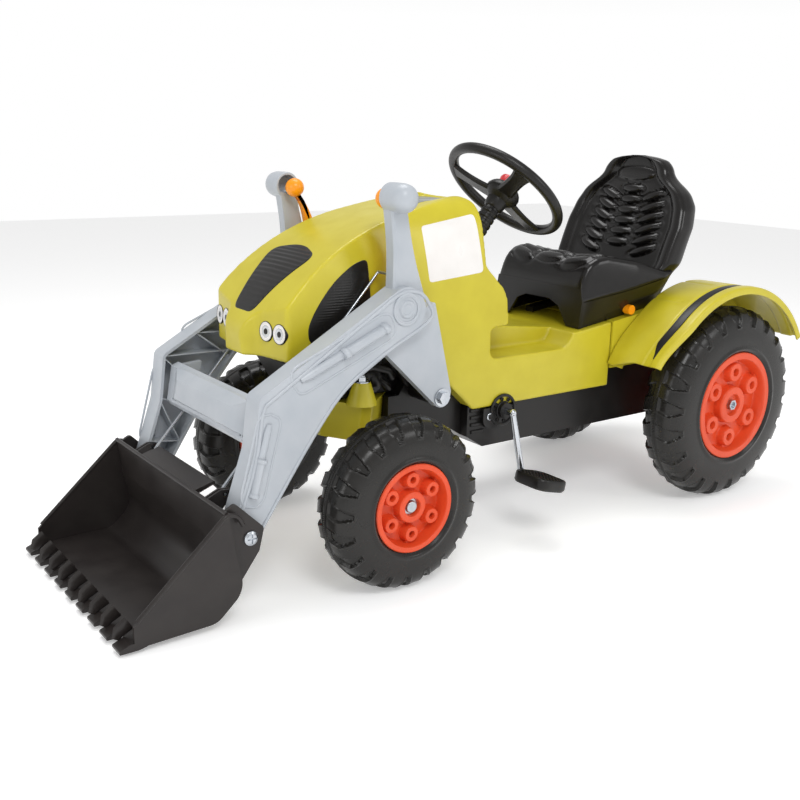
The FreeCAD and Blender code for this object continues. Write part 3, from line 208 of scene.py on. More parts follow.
def add(tree, kind, links=None, **values):
    """A node with its settings, and links from other nodes' outputs to its own inputs."""
    node = tree.nodes.new(kind)
    for key, value in values.items():
        if hasattr(node, key):
            setattr(node, key, value)
        else:
            node.inputs[key.replace("_", " ")].default_value = value
    for socket, source in (links or {}).items():
        tree.links.new(source, node.inputs[socket])
    return node


def surface(name, base, shade, rough, grain_mm, grain_deep, wave_mm=0.0, wave_deep=0.0, metallic=0.0,
            ior=None, speck=0.12):
    """A finish with real-size grain, slow waviness and uneven gloss."""
    mat = bpy.data.materials.new(name)
    mat.use_nodes = True
    tree = mat.node_tree
    shader = tree.nodes["Principled BSDF"]
    shader.inputs["Metallic"].default_value = metallic
    if ior:
        shader.inputs["IOR"].default_value = ior
    place = add(tree, "ShaderNodeTexCoord").outputs["Object"]
    grain = add(tree, "ShaderNodeTexNoise", {"Vector": place}, Scale=1000.0 / grain_mm, Detail=3.0)
    slow = add(tree, "ShaderNodeTexNoise", {"Vector": place}, Scale=1000.0 / BLOTCH_MM, Detail=4.0)
    amount = add(tree, "ShaderNodeMapRange", {"Value": slow.outputs["Fac"]},
                 From_Min=0.35, From_Max=0.75, To_Min=0.0, To_Max=1.0)
    tint = add(tree, "ShaderNodeMix", {0: amount.outputs["Result"]}, data_type="RGBA")
    tint.inputs[6].default_value = colour(base)
    tint.inputs[7].default_value = colour(shade)
    gloss = add(tree, "ShaderNodeMapRange", {"Value": slow.outputs["Fac"]},
                From_Min=0.3, From_Max=0.7, To_Min=rough * (1 - speck), To_Max=rough * (1 + speck))
    relief = add(tree, "ShaderNodeBump", {"Height": grain.outputs["Fac"]}, Strength=1.0,
                 Distance=grain_deep * 0.001)
    if wave_deep:
        wave = add(tree, "ShaderNodeTexNoise", {"Vector": place}, Scale=1000.0 / wave_mm, Detail=1.0)
        relief = add(tree, "ShaderNodeBump", {"Height": wave.outputs["Fac"],
                                              "Normal": relief.outputs["Normal"]},
                     Strength=1.0, Distance=wave_deep * 0.001)
    tree.links.new(tint.outputs[2], shader.inputs["Base Color"])
    tree.links.new(gloss.outputs["Result"], shader.inputs["Roughness"])
    tree.links.new(relief.outputs["Normal"], shader.inputs["Normal"])
    return mat


# Blow-moulded lime polyethylene: soft sheen, slow waves of a thin moulded wall.
lime = surface("lime blow-moulded polyethylene", "c3b629", "bbad22", 0.34, 1.4, 0.012, 60.0, 0.35)
# Black injection-moulded plastic: fine leather-like grain and a low sheen.
black = surface("black grained polypropylene", "171615", "1d1b1a", 0.34, 1.1, 0.03, ior=1.38)
# Tyres are hollow hard plastic: a dark satin skin that catches long highlights.
tyre_black = surface("black blow-moulded tyre plastic", "1a1917", "211f1d", 0.27, 1.6, 0.02, 30.0, 0.12,
                     ior=1.4)
# Seat: smoother and glossier black, with the ripple of a blown part.
seat_black = surface("glossy black seat plastic", "110f0e", "171514", 0.24, 1.5, 0.012, 40.0, 0.15, ior=1.42)
# Bucket: charcoal plastic, matt outside with a broad soft reflection.
charcoal = surface("charcoal bucket plastic", "262221", "2e2a28", 0.33, 1.3, 0.02, 70.0, 0.2, ior=1.4)
# Loader frame: silver-grey plastic with metal flake too fine to see, so only a pale sheen.
silver = surface("silver-grey loader plastic", "b0b5bb", "a7adb4", 0.34, 1.0, 0.015, 80.0, 0.12)
# Rims: warm orange-red moulded plastic, with the same satin skin as the tyres beside it.
rim_red = surface("orange-red rim plastic", "dc4f2a", "d2451f", 0.34, 1.4, 0.015, ior=1.4)
# Levers and latch: strong yellow-orange moulded plastic with a soft sheen.
orange = surface("orange lever plastic", "f59a0c", "f09008", 0.32, 1.3, 0.015)
# Horn cap: polished mould, so a red plastic with a clearer highlight than its neighbours.
red = surface("red horn plastic", "c61c22", "bd181e", 0.25, 1.3, 0.01)
# Printed side panel: white film laid on the bonnet, smoother than the lime around it.
white = surface("white side film", "e6e3e0", "dedbd7", 0.3, 2.0, 0.006)
# Dashboard film: grey print in uneven tones under a smooth clear face.
grey = surface("grey dashboard film", "7f8488", "5d6266", 0.3, 6.0, 0.004)
# Zinc plating: pale blue-grey metal with a crystalline, slightly uneven shine.
zinc = surface("zinc plated steel", "c3c7cc", "9fa6ae", 0.3, 0.8, 0.01, metallic=1.0, speck=0.4)
# Bright bent rod of the pedal crank and steering column: smooth drawn steel with sharp reflections.
chrome = surface("bright steel rod", "c9ccd0", "b9bdc2", 0.14, 0.9, 0.004, metallic=1.0, speck=0.3)
# Lamp discs: silvered plastic behind a clear face.
lamp = surface("silvered lamp disc", "d8d9da", "b4b7ba", 0.2, 1.0, 0.008, metallic=0.6)

FINISH = {
    lime: ["body_shell", "rear_deck", "fender_left", "fender_right", "axle_carrier"],
    black: ["chassis_tub", "engine_moulding", "front_grille", "side_grilles", "fender_stripes", "column_bush",
            "steering_wheel", "tie_rod", "pedal_left", "pedal_right", "tow_hitch", "knuckle_left",
            "knuckle_right",
            "seat_rails", "axle_bushes", "crank_plates"],
    lamp: ["headlamps"], white: ["side_panels"], grey: ["dashboard_plate"],
    zinc: ["kingpins", "pivot_bolts", "front_bolt_left", "front_bolt_right", "hub_nuts", "bucket_bolts",
           "drive_chain",
           "rear_sprocket", "crank_sprocket", "tilt_rod_left", "tilt_rod_right", "rear_axle"],
    chrome: ["crank_shaft", "steering_shaft"],
    red: ["horn_button"],
    tyre_black: ["front_tyre_left", "front_tyre_right", "rear_tyre_left", "rear_tyre_right"],
    rim_red: ["front_rim_left", "front_rim_right", "rear_rim_left", "rear_rim_right"],
    silver: ["arm_left", "arm_right", "strut_left", "strut_right", "handle_left", "handle_right",
             "cross_beam"],
    orange: ["trigger_left", "trigger_right", "seat_latch"],
    charcoal: ["bucket"],
    seat_black: ["seat_shell"],
}


def paint(obj, mat):
    """Give an object one material and no other."""
    obj.data.materials.clear()
    obj.data.materials.append(mat)


for mat, names in FINISH.items():
    for name in names:
        paint(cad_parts[name], mat)


def piece(obj, mat, body, slot, *nodes):
    """Dress a new piece, let it ride on a body, and hide the CAD nodes that it stands for."""
    paint(obj, mat)
    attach(obj, body)
    if nodes:
        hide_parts(*nodes)
    return obj


# ------------------------------------------------------------------ tyres
def tyre(name, wheel, mirror, body, node):
    """Smooth carcass with two rows of sunk tread pockets and a ribbed seam round the middle."""
    radius, width, rim = wheel["radius"], wheel["width"], wheel["rim"]
    y, z = wheel["y"], wheel["z"]
    half = width / 2 - 2.4
    middle = TRACK_HALF - width / 2
    count = wheel["pockets"]
    around = count * 36
    t = np.linspace(0, math.pi, 600)
    side_fullness, tread_fullness = 0.62, 0.6
    px = half * np.sign(np.cos(t)) * np.abs(np.cos(t)) ** side_fullness
    pr = rim + (radius - 1.5 - rim) * np.abs(np.sin(t)) ** tread_fullness
    path = resampled(np.stack([px, pr], axis=1), 96)
    step = np.linalg.norm(np.diff(path, axis=0), axis=1)
    run = np.concatenate([[0], np.cumsum(step)])
    d = run - run[-1] / 2
    tangent = np.gradient(path, axis=0)
    normal = np.stack([-tangent[:, 1], tangent[:, 0]], axis=1)
    normal /= np.linalg.norm(normal, axis=1)[:, None]
    normal *= np.sign((normal * (path - (0, rim * 1.02))).sum(axis=1))[:, None]
    bead = path[:, 1] - rim
    lift = 2.2 * np.exp(-((bead - 7.0) / 3.2) ** 2) - 3.0 * np.exp(-((bead - 0.0) / 2.6) ** 2)
    phi = np.linspace(0, 2 * math.pi, around, endpoint=False)
    pitch = 2 * math.pi / count
    size = radius / FRONT_WHEEL["radius"]
    length = 46.0 * (0.6 + 0.4 * size)
    depth = np.zeros((around, len(d)))
    for side in (-1, 1):
        u = side * d - 7.0
        offset = 0.25 if side > 0 else 0.75
        local = (phi / pitch - offset + 0.5) % 1.0 - 0.5
        arc = local[:, None] * pitch * path[None, :, 1]
        part = u / length
        w = np.interp(part, [0, 0.42, 1.0], [9.5 * size, 10.5 * size, 4.0 * size])
        shift = np.interp(part, [0, 0.42, 1.0], [-7.0, 0.0, 1.5])
        inside = np.minimum(w - np.abs(arc - shift), np.minimum(u, length - u)[None, :])
        pocket = -4.6 * smooth(-0.3, 1.9, inside)
        outer_lip = 0.9 * np.exp(-((inside + 0.9) / 0.8) ** 2)
        inner_lip = 0.5 * np.exp(-((inside - 3.6) / 0.7) ** 2)
        depth += np.where(u > -4, pocket + outer_lip + inner_lip, 0)
    seam = 1.2 * np.exp(-(d / 2.6) ** 2) - 0.8 * np.exp(-((np.abs(d) - 5.2) / 1.1) ** 2)
    depth = depth + (lift + seam)[None, :]
    px = middle + path[None, :, 0] + normal[None, :, 0] * depth
    pr = np.minimum(path[None, :, 1] + normal[None, :, 1] * depth, radius)
    grid = np.stack([px, y + pr * np.cos(phi)[:, None], z + pr * np.sin(phi)[:, None]], axis=2)
    parts = Build().grid(grid, close_u=True)
    ribs = int(2 * math.pi * radius / 3.2)
    t = np.linspace(0, 2 * math.pi, ribs * 4, endpoint=False)
    wave = np.tile([0.0, 0.9, 0.9, 0.0], ribs)
    rows = []
    for x, base in ((-3.2, -2.0), (-2.4, 0.0), (2.4, 0.0), (3.2, -2.0)):
        r = radius - 0.9 + base + (wave if base == 0 else 0) * 0.9
        r = np.minimum(np.broadcast_to(r, t.shape), radius)
        rows.append(np.stack([np.full(t.shape, middle + x), y + r * np.cos(t), z + r * np.sin(t)], axis=1))
    parts.grid(np.array(rows), close_v=True, flip=True)
    obj = parts.done(name, mirror, 50.0)
    piece(obj, tyre_black, body, "tyre_plastic", node)


for wheel, word, bodies in ((FRONT_WHEEL, "front", ("wheel_fl", "wheel_fr")),
                            (REAR_WHEEL, "rear", ("rear", "rear"))):
    tyre(word + "_tyre_skin_left", wheel, False, bodies[0], word + "_tyre_left")
    tyre(word + "_tyre_skin_right", wheel, True, bodies[1], word + "_tyre_right")


# ------------------------------------------------------------------ rims
def rim_face(name, wheel, mirror, body, node, hub_bore):
    """Dished face with a hub, six hollow posts and a web from each post to the outer ring."""
    rim, y, z = wheel["rim"] - 0.6, wheel["y"], wheel["z"]
    out = TRACK_HALF - 3.2
    inner = TRACK_HALF - wheel["width"] + 3.2
    k = rim / FRONT_WHEEL["rim"]
    around, rings = 360, 150
    r = np.linspace(hub_bore, rim, rings)[None, :]
    phi = np.linspace(0, 2 * math.pi, around, endpoint=False)[:, None]
    dish = 22.0
    deep = dish * smooth(rim - 8.0 * k, rim - 14.0 * k, r) + 1.2 * smooth(rim - 1.5, rim, r)
    post_ring = 0.62 * rim
    for i in range(6):
        a = math.radians(90 + 60 * i)
        away = (phi - a + math.pi) % (2 * math.pi) - math.pi
        px, py = r * np.cos(away) - post_ring, r * np.sin(away)
        dist = np.hypot(px, py)
        web = np.maximum(np.abs(py) - 7.0 * k, post_ring - r * np.cos(away))
        deep = np.minimum(deep, 13.0 + 30 * smooth(0, 2.5, web) * (web > 0))
        deep = np.minimum(deep, 7.0 + 14.0 * smooth(11.5 * k, 14.5 * k, dist) + 60 * (dist > 14.6 * k))
        deep = np.where(dist < 5.6 * k, np.maximum(deep, 7.0 + 11.0 * smooth(5.4 * k, 4.4 * k, dist)), deep)
    hub = 0.34 * rim
    deep = np.minimum(deep, 6.0 + 16.5 * smooth(hub, hub + 3.0, r) + 60 * (r > hub + 3.2))
    deep = np.where(r < hub * 0.62, 6.0 + 7.5 * smooth(hub * 0.62, hub * 0.52, r), deep)
    x = out - deep - 1.0 * np.exp(-((r - hub) / 1.2) ** 2)
    grid = np.stack([np.broadcast_to(x, (around, rings)), y + r * np.cos(phi), z + r * np.sin(phi)], axis=2)
    parts = Build().grid(grid, close_u=True)
    barrel = [(out - 1.2, rim), (inner, rim), (inner, rim - 7), (out - dish - 6, rim - 15 * k),
              (out - dish - 5, hub_bore + 9), (inner + 0.5, hub_bore + 8), (inner + 0.5, hub_bore),
              (out - 12, hub_bore)]
    parts.lathe(barrel, (0, y, z), around=180)
    obj = parts.done(name, mirror, 45.0)
    piece(obj, rim_red, body, "rim_plastic", node)


for side, mirror in (("left", False), ("right", True)):
    rim_face("front_rim_face_" + side, FRONT_WHEEL, mirror, "wheel_fl" if side == "left" else "wheel_fr",
             "front_rim_" + side, 8.2)
    rim_face("rear_rim_face_" + side, REAR_WHEEL, mirror, "rear", "rear_rim_" + side, 6.1)


# ------------------------------------------------------------------ body
def face_outwards(obj):
    """Turn every face of a mesh the same way round, outwards."""
    mesh = bmesh.new()
    mesh.from_mesh(obj.data)
    bmesh.ops.recalc_face_normals(mesh, faces=mesh.faces)
    mesh.to_mesh(obj.data)
    mesh.free()


def extruded(outline, axis, lo, hi):
    """Temporary solid: a closed outline drawn across two axes, pushed along the third."""
    ring = np.asarray(outline, float)
    order = {"x": (1, 2, 0), "y": (0, 2, 1), "z": (0, 1, 2)}[axis]
    verts = []
    for level in (lo, hi):
        layer = np.zeros((len(ring), 3))
        layer[:, order[0]], layer[:, order[1]], layer[:, order[2]] = ring[:, 0], ring[:, 1], level
        verts.append(layer)
    count = len(ring)
    faces = [(k, (k + 1) % count, count + (k + 1) % count, count + k) for k in range(count)]
    faces += [tuple(range(count))[::-1], tuple(range(count, 2 * count))]
    obj = new_object("tool", np.concatenate(verts), faces)
    face_outwards(obj)
    return obj


def carved(first, steps, voxel, passes):
    """Boolean steps, then a fine even mesh whose edges are worn round like a blown moulding."""
    for obj, kind in steps:
        cut = first.modifiers.new("step", "BOOLEAN")
        cut.object, cut.operation, cut.solver = obj, kind, "EXACT"
    remesh = first.modifiers.new("even", "REMESH")
    remesh.mode, remesh.voxel_size = "VOXEL", voxel * 0.001
    soft = first.modifiers.new("round", "SMOOTH")
    soft.factor, soft.iterations = 0.5, passes
    shown = first.evaluated_get(bpy.context.evaluated_depsgraph_get())
    mesh = bpy.data.meshes.new_from_object(shown)
    for obj in [first] + [tool for tool, kind in steps]:
        bpy.data.objects.remove(obj)
    mesh.materials.clear()
    mesh.shade_smooth()
    return mesh


def closed(points, steps=6):
    """A closed outline with rounded corners."""
    count = len(points)
    ring = [points[-1]] + list(points) + [points[0]]
    path = []
    for k in range(1, count + 1):
        three = [ring[k - 1][:2], ring[k], ring[k + 1][:2]]
        path.append(rounded(three,
                            steps)[1:-1] if len(ring[k]) > 2 and ring[k][2] > 0 else np.array([ring[k][:2]]))
    return np.concatenate(path)


def fine(outline, count=180):
    """The same closed outline in even short steps."""
    ring = np.concatenate([outline, outline[:1]])
    return resampled(ring, count + 1)[:-1]


def both(points):
    """Outline completed with its mirror image across x = 0."""
    return list(points) + [(-p[0], *p[1:]) for p in reversed(points) if p[0]]


HOOD_SIDE = [(-168, 349), (-171, 392, 16), (-112, 462, 90), (-44, 512, 70), (40, 549, 120), (150, 574, 160),
             (226, 586.5, 26),
             (250, 575, 14), (251, 470, 8), (296.5, 423, 22), (297, 357, 10), (462, 339, 8), (555, 350.5),
             (555, 228), (222, 228), (91, 349)]
HOOD_FRONT = [(124, 222), (124, 330, 40), (119, 400, 120), (110, 474, 120), (93, 549, 34), (64, 585.5, 26),
              (0, 587.5)]
HOOD_PLAN = [(28, -171, 20), (44, -149, 12), (114, -138, 6), (117, 0, 120), (124, 90, 60), (124, 555)]
WELL = [(257, 312.5, 16), (442, 312.5, 20), (462, 352, 16), (462, 430), (299, 430), (299, 368, 8),
        (257, 366, 14)]


def body():
    """Blown bonnet, footwells and deck edge; returns its surface for the pieces laid on it."""
    side = extruded(closed(HOOD_SIDE), "x", -124.4, 124.4)
    front = extruded(closed(both(HOOD_FRONT)), "y", -172, 556)
    plan = extruded(closed(both(HOOD_PLAN)), "z", 220, 600)
    steps = [(front, "INTERSECT"), (plan, "INTERSECT")]
    for lo, hi in ((60.5, 150), (-150, -60.5)):
        steps.append((extruded(closed(WELL), "x", lo, hi), "DIFFERENCE"))
    dash = closed(both([(47, 130, 6), (50, 232, 8), (0, 240, 30)]))
    steps.append((extruded(dash, "z", 576.5, 620), "DIFFERENCE"))
    mesh = carved(side, steps, VOXEL_MM, ROUNDING_PASSES)
    obj = bpy.data.objects.new("body_moulding", mesh)
    bpy.context.scene.collection.objects.link(obj)
    piece(obj, lime, "chassis", "lime_plastic", "body_shell")
    return BVHTree.FromPolygons([v.co.copy() for v in mesh.vertices],
                                [tuple(p.vertices) for p in mesh.polygons])


def laid_on(tree, name, outline, mat, slot, high, centre, mirror=False, dome=0.0, nodes=(), way=(-1, 0, 0),
            pattern=None):
    """A thin piece that follows the moulding under an outline, with a rounded edge."""
    ring = fine(np.asarray(outline, float))
    centre = np.asarray(centre, float)
    shares = np.concatenate([np.linspace(0.02, 0.97, 40), [0.985, 1.0, 1.0]])
    rows = []
    for n, share in enumerate(shares):
        row = []
        for p in centre + (ring - centre) * share:
            if way[0]:
                start = Vector((0.3, p[0] * 0.001 + AXLE_Y, p[1] * 0.001))
            else:
                start = Vector((p[0] * 0.001, p[1] * 0.001 + AXLE_Y, 0.7))
            hit = tree.ray_cast(start, Vector(way))[0]
            if hit is None:
                hit = tree.find_nearest(start + Vector(way) * 0.2)[0]
            edge = len(shares) - 1 - n
            lift = -3.0 if edge == 0 else high * (0.4 if edge == 1 else 1.0) + dome * (1 - share ** 2)
            if pattern:
                lift += pattern(p[0], p[1]) * (share < 0.94)
            spot = hit - Vector(way) * lift * 0.001
            row.append((spot.x * 1000, (spot.y - AXLE_Y) * 1000, spot.z * 1000))
        rows.append(row)
    parts = Build().grid(np.array(rows), close_v=True)
    parts.faces.append(tuple(range(len(ring))))
    obj = parts.done(name, mirror, 50.0)
    face_outwards(obj)
    piece(obj, mat, "chassis", slot, *nodes)


LAMPS = ((66, -146.3, 391), (98, -141.2, 391))
LAMP_FACE = Vector((0.15, -0.98, 0.06)).normalized()


def lamp_rings(name, x, y, z, mirror):
    """Lamp let into the nose: white ring, grey ring and a dark middle, each a shallow disc."""
    for part, mat, rings in (
            ("rim", black, [(-9, 16.2), (-2, 16.0), (0.6, 15.6), (1.2, 15.2), (1.0, 14.6), (-3, 14.6)]),
            ("glass", white, [(-3, 14.6), (0.9, 14.4), (1.5, 11.6), (1.0, 9.4), (-3, 9.4)]),
            ("ring", lamp, [(-3, 9.5), (1.2, 9.3), (1.7, 6.5), (1.0, 4.6), (-3, 4.6)]),
            ("core", black, [(-3, 4.7), (1.2, 4.5), (1.6, 2.5), (1.7, 0.1)])):
        obj = Build().lathe(rings, (x, y, z), tuple(LAMP_FACE), 48).done(name + "_" + part, mirror, 40.0)
        first = part == "rim" and name == "lamp_left_1"
        piece(obj, mat, "chassis", "lamp_plastic", *(("headlamps",) if first else ()))


def body_details():
    """Body with its side grilles, white panels, lamps, dashboard film and nose grille."""
    tree = body()
    grille = closed([(-103, 398, 14), (-87, 430, 60), (-54, 466, 50), (-16, 490, 40), (10, 497, 10),
                     (12, 376, 12), (-60, 366, 30), (-99, 374, 16)])
    panel = closed([(128, 452, 6), (121, 541, 6), (236, 557, 8), (243, 462, 8)])
    slat_mm, post_mm, nose_slat_mm = 4.0, 16.0, 7.0

    def slats(a, b):
        between_posts = math.cos(a * 2 * math.pi / post_mm) > -0.92
        return 0.35 * math.cos(b * 2 * math.pi / slat_mm) * (1 if between_posts else 0.2)

    for side, mirror in (("left", False), ("right", True)):
        laid_on(tree, "side_grille_" + side, grille, black, "black_plastic", 0.8, (-42, 430), mirror, 3.0,
                ("side_grilles",) if side == "left" else (), pattern=slats)
        laid_on(tree, "white_panel_" + side, panel, white, "white_panel", 0.35, (183, 503), mirror, 0.0,
                ("side_panels",) if side == "left" else ())
        for n, (x, y, z) in enumerate(LAMPS):
            lamp_rings("lamp_%s_%d" % (side, n + 1), x, y, z, mirror)
    plate = closed(both([(45, 134, 5), (47, 228, 7), (0, 236, 30)]))
    laid_on(tree, "dashboard_film", plate, grey, "grey_panel", 0.5, (0, 185), False, 0.0,
            ("dashboard_plate",), way=(0, 0, -1))
    nose = closed(both([(30, -152, 12), (66, -60, 20), (0, -40, 60)]))
    laid_on(tree, "nose_grille", nose, black, "black_plastic", 0.8, (0, -90), False, 1.5, ("front_grille",),
            way=(0, 0, -1),
            pattern=lambda a, b: 0.5 * math.cos(b * 2 * math.pi / nose_slat_mm))


body_details()


# ------------------------------------------------------------------ seat
def deck(y):
    """Height of the sloping deck under the seat."""
    return 338.0 + (y - 456.0) * 0.13


def cushion_edge(y):
    """Half width of the cushion."""
    return np.interp(y, [SEAT_FRONT, 485, 520, 600, 665, 690, SEAT_REAR], [117, 119, 126, 142, 150, 146, 128])


def cushion_low(y):
    """Lower edge of the cushion."""
    return np.interp(y, [SEAT_FRONT, 560, 665, SEAT_REAR], [389, 404, 427, 446])


def puffs(a, b, rows):
    """Height of raised oval ribs at (a, b); rows hold centre, half sizes, slant and height."""
    a, b = np.asarray(a, float), np.asarray(b, float)
    total = np.zeros(np.broadcast(a, b).shape)
    for ca, cb, ha, hb, slant, high in rows:
        u, v = a - ca, b - cb - slant * (a - ca)
        dist = np.sqrt((u / ha) ** 2 + (v / hb) ** 2)
        dome = high * np.sqrt(np.clip(1 - dist ** 2, 0, 1))
        ditch = 0.35 * high * np.exp(-((dist - 1.12) / 0.16) ** 2)
        total = total + dome - ditch
    return total


def seat():
    """Moulded seat: ribbed cushion on a slanted skirt, and a ribbed backrest with a rounded head."""
    parts = Build()
    # cushion: rounded sections from front to back, with side bolsters and wavy ribs
    ys = np.concatenate([np.linspace(SEAT_FRONT, 500, 16), np.linspace(503, SEAT_REAR, 60)])
    bolster = np.interp(ys, [SEAT_FRONT, 480, 486, 492, 500, 515, 535, 600, 665, SEAT_REAR],
                        [414, 430, 445, 455, 463, 471, 474, 464, 444, 440])
    dish = np.interp(ys, [SEAT_FRONT, 500, 540, 600, SEAT_REAR], [1, 3, 7, 9, 8])
    ribs = [(0, 508 + 30 * i, 36, 13, 0.0, 6.0) for i in range(6)]
    for s in (-1, 1):
        ribs += [(s * 76, 504 + 30 * i, 34, 13, s * 0.22, 6.0) for i in range(6)]
    loops = []
    for y, e, l, t, c in zip(ys, cushion_edge(ys), cushion_low(ys), bolster, dish):
        half = rounded([(0, l - 1), (e - 26, l - 1, 8), (e, l, 7), (e - 3, l + 0.55 * (t - l), 20),
                        (e - 9, t - 1, 13),
                        (e - 30, t - 2, 14), (e - 52, t - c, 30), (0, t - c - 1)], 7)
        half = resampled(half, 90)
        top = (half[:, 1] > t - c - 6) & (half[:, 0] < e - 22)
        lift = puffs(half[:, 0], np.full(len(half), y), ribs) * top
        lift_m = puffs(-half[:, 0], np.full(len(half), y), ribs) * top
        left = np.stack([half[:, 0], np.full(len(half), y), half[:, 1] + lift], axis=1)
        right = np.stack([-half[::-1, 0], np.full(len(half), y), half[::-1, 1] + lift_m[::-1]], axis=1)
        loops.append(np.concatenate([left, right[1:-1]]))
    parts.loft(loops)
    # skirt: slanted walls from the cushion's lower edge to the deck
    for s in (-1, 1):
        loops = []
        for y in np.linspace(477.5, 690, 30):
            e, l = cushion_edge(y), cushion_low(y)
            foot = np.interp(y, [SEAT_FRONT, 690], [112, 106])
            loops.append([(s * (e - 1.5), y, l + 1), (s * foot, y, deck(y) + 0.6),
                          (s * (foot - 7), y, deck(y) + 0.6),
                          (s * (e - 30), y, l + 1)][::s])
        parts.loft(loops)
    arch = [(-112, 343), (-80, 343), (-70, 358), (-56, 378), (-30, 389), (30, 389), (56, 378), (70, 358),
            (80, 343),
            (112, 343), (117.5, 392), (113, 416), (-113, 416), (-117.5, 392)]
    parts.loft([[(x, 482.5, z) for x, z in arch], [(x, 476.6, z) for x, z in arch]])
    rear = [(-106, deck(684) + 1), (106, deck(684) + 1), (140, 434), (-140, 434)]
    parts.loft([[(x, 690, z) for x, z in rear], [(x, 684, z) for x, z in rear]])
    # backrest: sections from the cushion up to the rounded head
    head = 640 + 10.8 * np.sin(np.linspace(0.12, 1.0, 12) * math.pi / 2)
    zs = np.concatenate([np.linspace(430, 640, 90), head])
    wide = np.interp(zs, [430, 450, 520, 555, 580, 592, 603, 614, 628, 640, 645, 649, 650.8],
                     [136, 148, 149, 141, 126, 112, 95, 84, 79, 68, 56, 34, 8])
    wide = np.convolve(np.pad(wide, 2, mode="edge"), np.ones(5) / 5, mode="valid")
    front = np.interp(zs, [430, 445, 489, 530, 569, 615, 651], [664, 671, 688, 706, 720, 728, 733])
    front = np.convolve(np.pad(front, 6, mode="edge"), np.ones(13) / 13, mode="valid")
    thick = np.interp(zs, [430, 460, 560, 600, 640, 651], [44, 48, 44, 34, 26, 12])
    ribs = [(0, 484 + 20.5 * i, 27, 8.8, 0.0, 7.0) for i in range(6)]
    for s in (-1, 1):
        ribs += [(s * (70 - 3 * i), 472 + 20.5 * i, 28, 9.0, s * 0.32, 7.5) for i in range(6)]
    ribs += [(0, 616, 50, 14, 0.0, 4.0)]
    loops = []
    for z, w, f, k in zip(zs, wide, front, thick):
        half = rounded([(0, 0), (w * 0.45, 0.5, 20), (w - 34, 3, 10), (w - 24, -7, 9), (w - 10, -10, 9),
                        (w - 1, -3, 12), (w, k * 0.5, 20),
                        (w - 6, k - 3, 14), (w * 0.5, k, 30), (0, k)], 7)
        half = resampled(half, 110)
        facing = (half[:, 1] < 5) & (half[:, 0] < w - 32)
        fade = smooth(650, 622, z)
        lift = puffs(half[:, 0], np.full(len(half), z), ribs) * facing * fade
        lift_m = puffs(-half[:, 0], np.full(len(half), z), ribs) * facing * fade
        left = np.stack([half[:, 0], f + half[:, 1] - lift, np.full(len(half), z)], axis=1)
        right = np.stack([-half[::-1, 0], f + half[::-1, 1] - lift_m[::-1], np.full(len(half), z)], axis=1)
        loops.append(np.concatenate([left, right[1:-1]])[::-1])
    parts.loft(loops)
    piece(parts.done("seat_moulding", sharp=55.0), seat_black, "seat", "seat_plastic", "seat_shell")


seat()


# ------------------------------------------------------------------ fenders
def fender_taper(deg, x):
    """The fender narrows towards its front foot."""
    return FENDER_IN + (x - FENDER_IN) * (1 - 0.19 * smooth(130, 158, deg))


def fender_flare(deg, x):
    """The inner front corner swings out to meet the body."""
    return 14.0 * smooth(132, 157, deg) * smooth(215, 150, x)


def fender(name, mirror, node):
    """Arched sheet over the rear tyre: flared front foot, raised outer band, turned-down lip."""
    angles = np.radians(np.linspace(156, 30.7, 150))
    across = rounded([(FENDER_IN, -45), (FENDER_IN, -1.5, 3), (205, 0, 6), (212, 0, 2), (213, -2.2, 2),
                      (234.5, -2.2, 2), (236, 1.5, 2),
                      (252, 1.0, 5), (255.8, -1.5, 3), (255.5, -13)], 5)
    across = resampled(across, 90)
    grid = []
    for a in angles:
        deg = math.degrees(a)
        grow = fender_flare(deg, across[:, 0])
        dents = np.exp(-((deg - 118) / 0.9) ** 2) + np.exp(-((deg - 96) / 0.9) ** 2)
        crease = -1.6 * dents * smooth(200, 190, across[:, 0])
        r = FENDER_R + across[:, 1] + grow + crease
        reach = a + np.radians(3.5) * smooth(200, 140, across[:, 0]) * smooth(140, 156, deg)
        grid.append(np.stack([fender_taper(deg, across[:, 0]), REAR_WHEEL["y"] + r * np.cos(reach),
                              REAR_WHEEL["z"] + r * np.sin(reach)], axis=1))
    parts = Build().grid(np.array(grid))
    obj = parts.done(name, mirror, 50.0)
    face = obj.data.polygons[len(obj.data.polygons) // 2]
    axle = Vector((0, REAR_WHEEL["y"] * 0.001 + AXLE_Y, REAR_WHEEL["z"] * 0.001))
    outward = face.normal.yz.dot((face.center - axle).yz)
    thick = obj.modifiers.new("wall", "SOLIDIFY")
    thick.thickness = 0.0032
    thick.offset = -1.0 if outward > 0 else 1.0
    piece(obj, lime, "chassis", "lime_plastic", node)


def fender_stripe(name, mirror, *nodes):
    """Black band let into the fender beside its outer lip, cut to a slant at the front."""
    rows = []
    for deg in np.linspace(152, 36, 140):
        cut = smooth(152, 143, deg)
        across = [(232.5 - 17 * cut, -5), (232.5 - 17 * cut, -1.2), (231 - 15 * cut, -0.5), (232.2, -0.5),
                  (233.4, -1.2), (233.4, -5)]
        a = math.radians(deg)
        row = []
        for x, d in across:
            r = FENDER_R + d + fender_flare(deg, x)
            row.append((fender_taper(deg, x), REAR_WHEEL["y"] + r * math.cos(a),
                        REAR_WHEEL["z"] + r * math.sin(a)))
        rows.append(row)
    obj = Build().loft(rows).done(name, mirror, 40.0)
    piece(obj, black, "chassis", "black_plastic", *nodes)


fender_stripe("fender_stripe_left", False, "fender_stripes")
fender_stripe("fender_stripe_right", True)
fender("fender_sheet_left", False, "fender_left")
fender("fender_sheet_right", True, "fender_right")


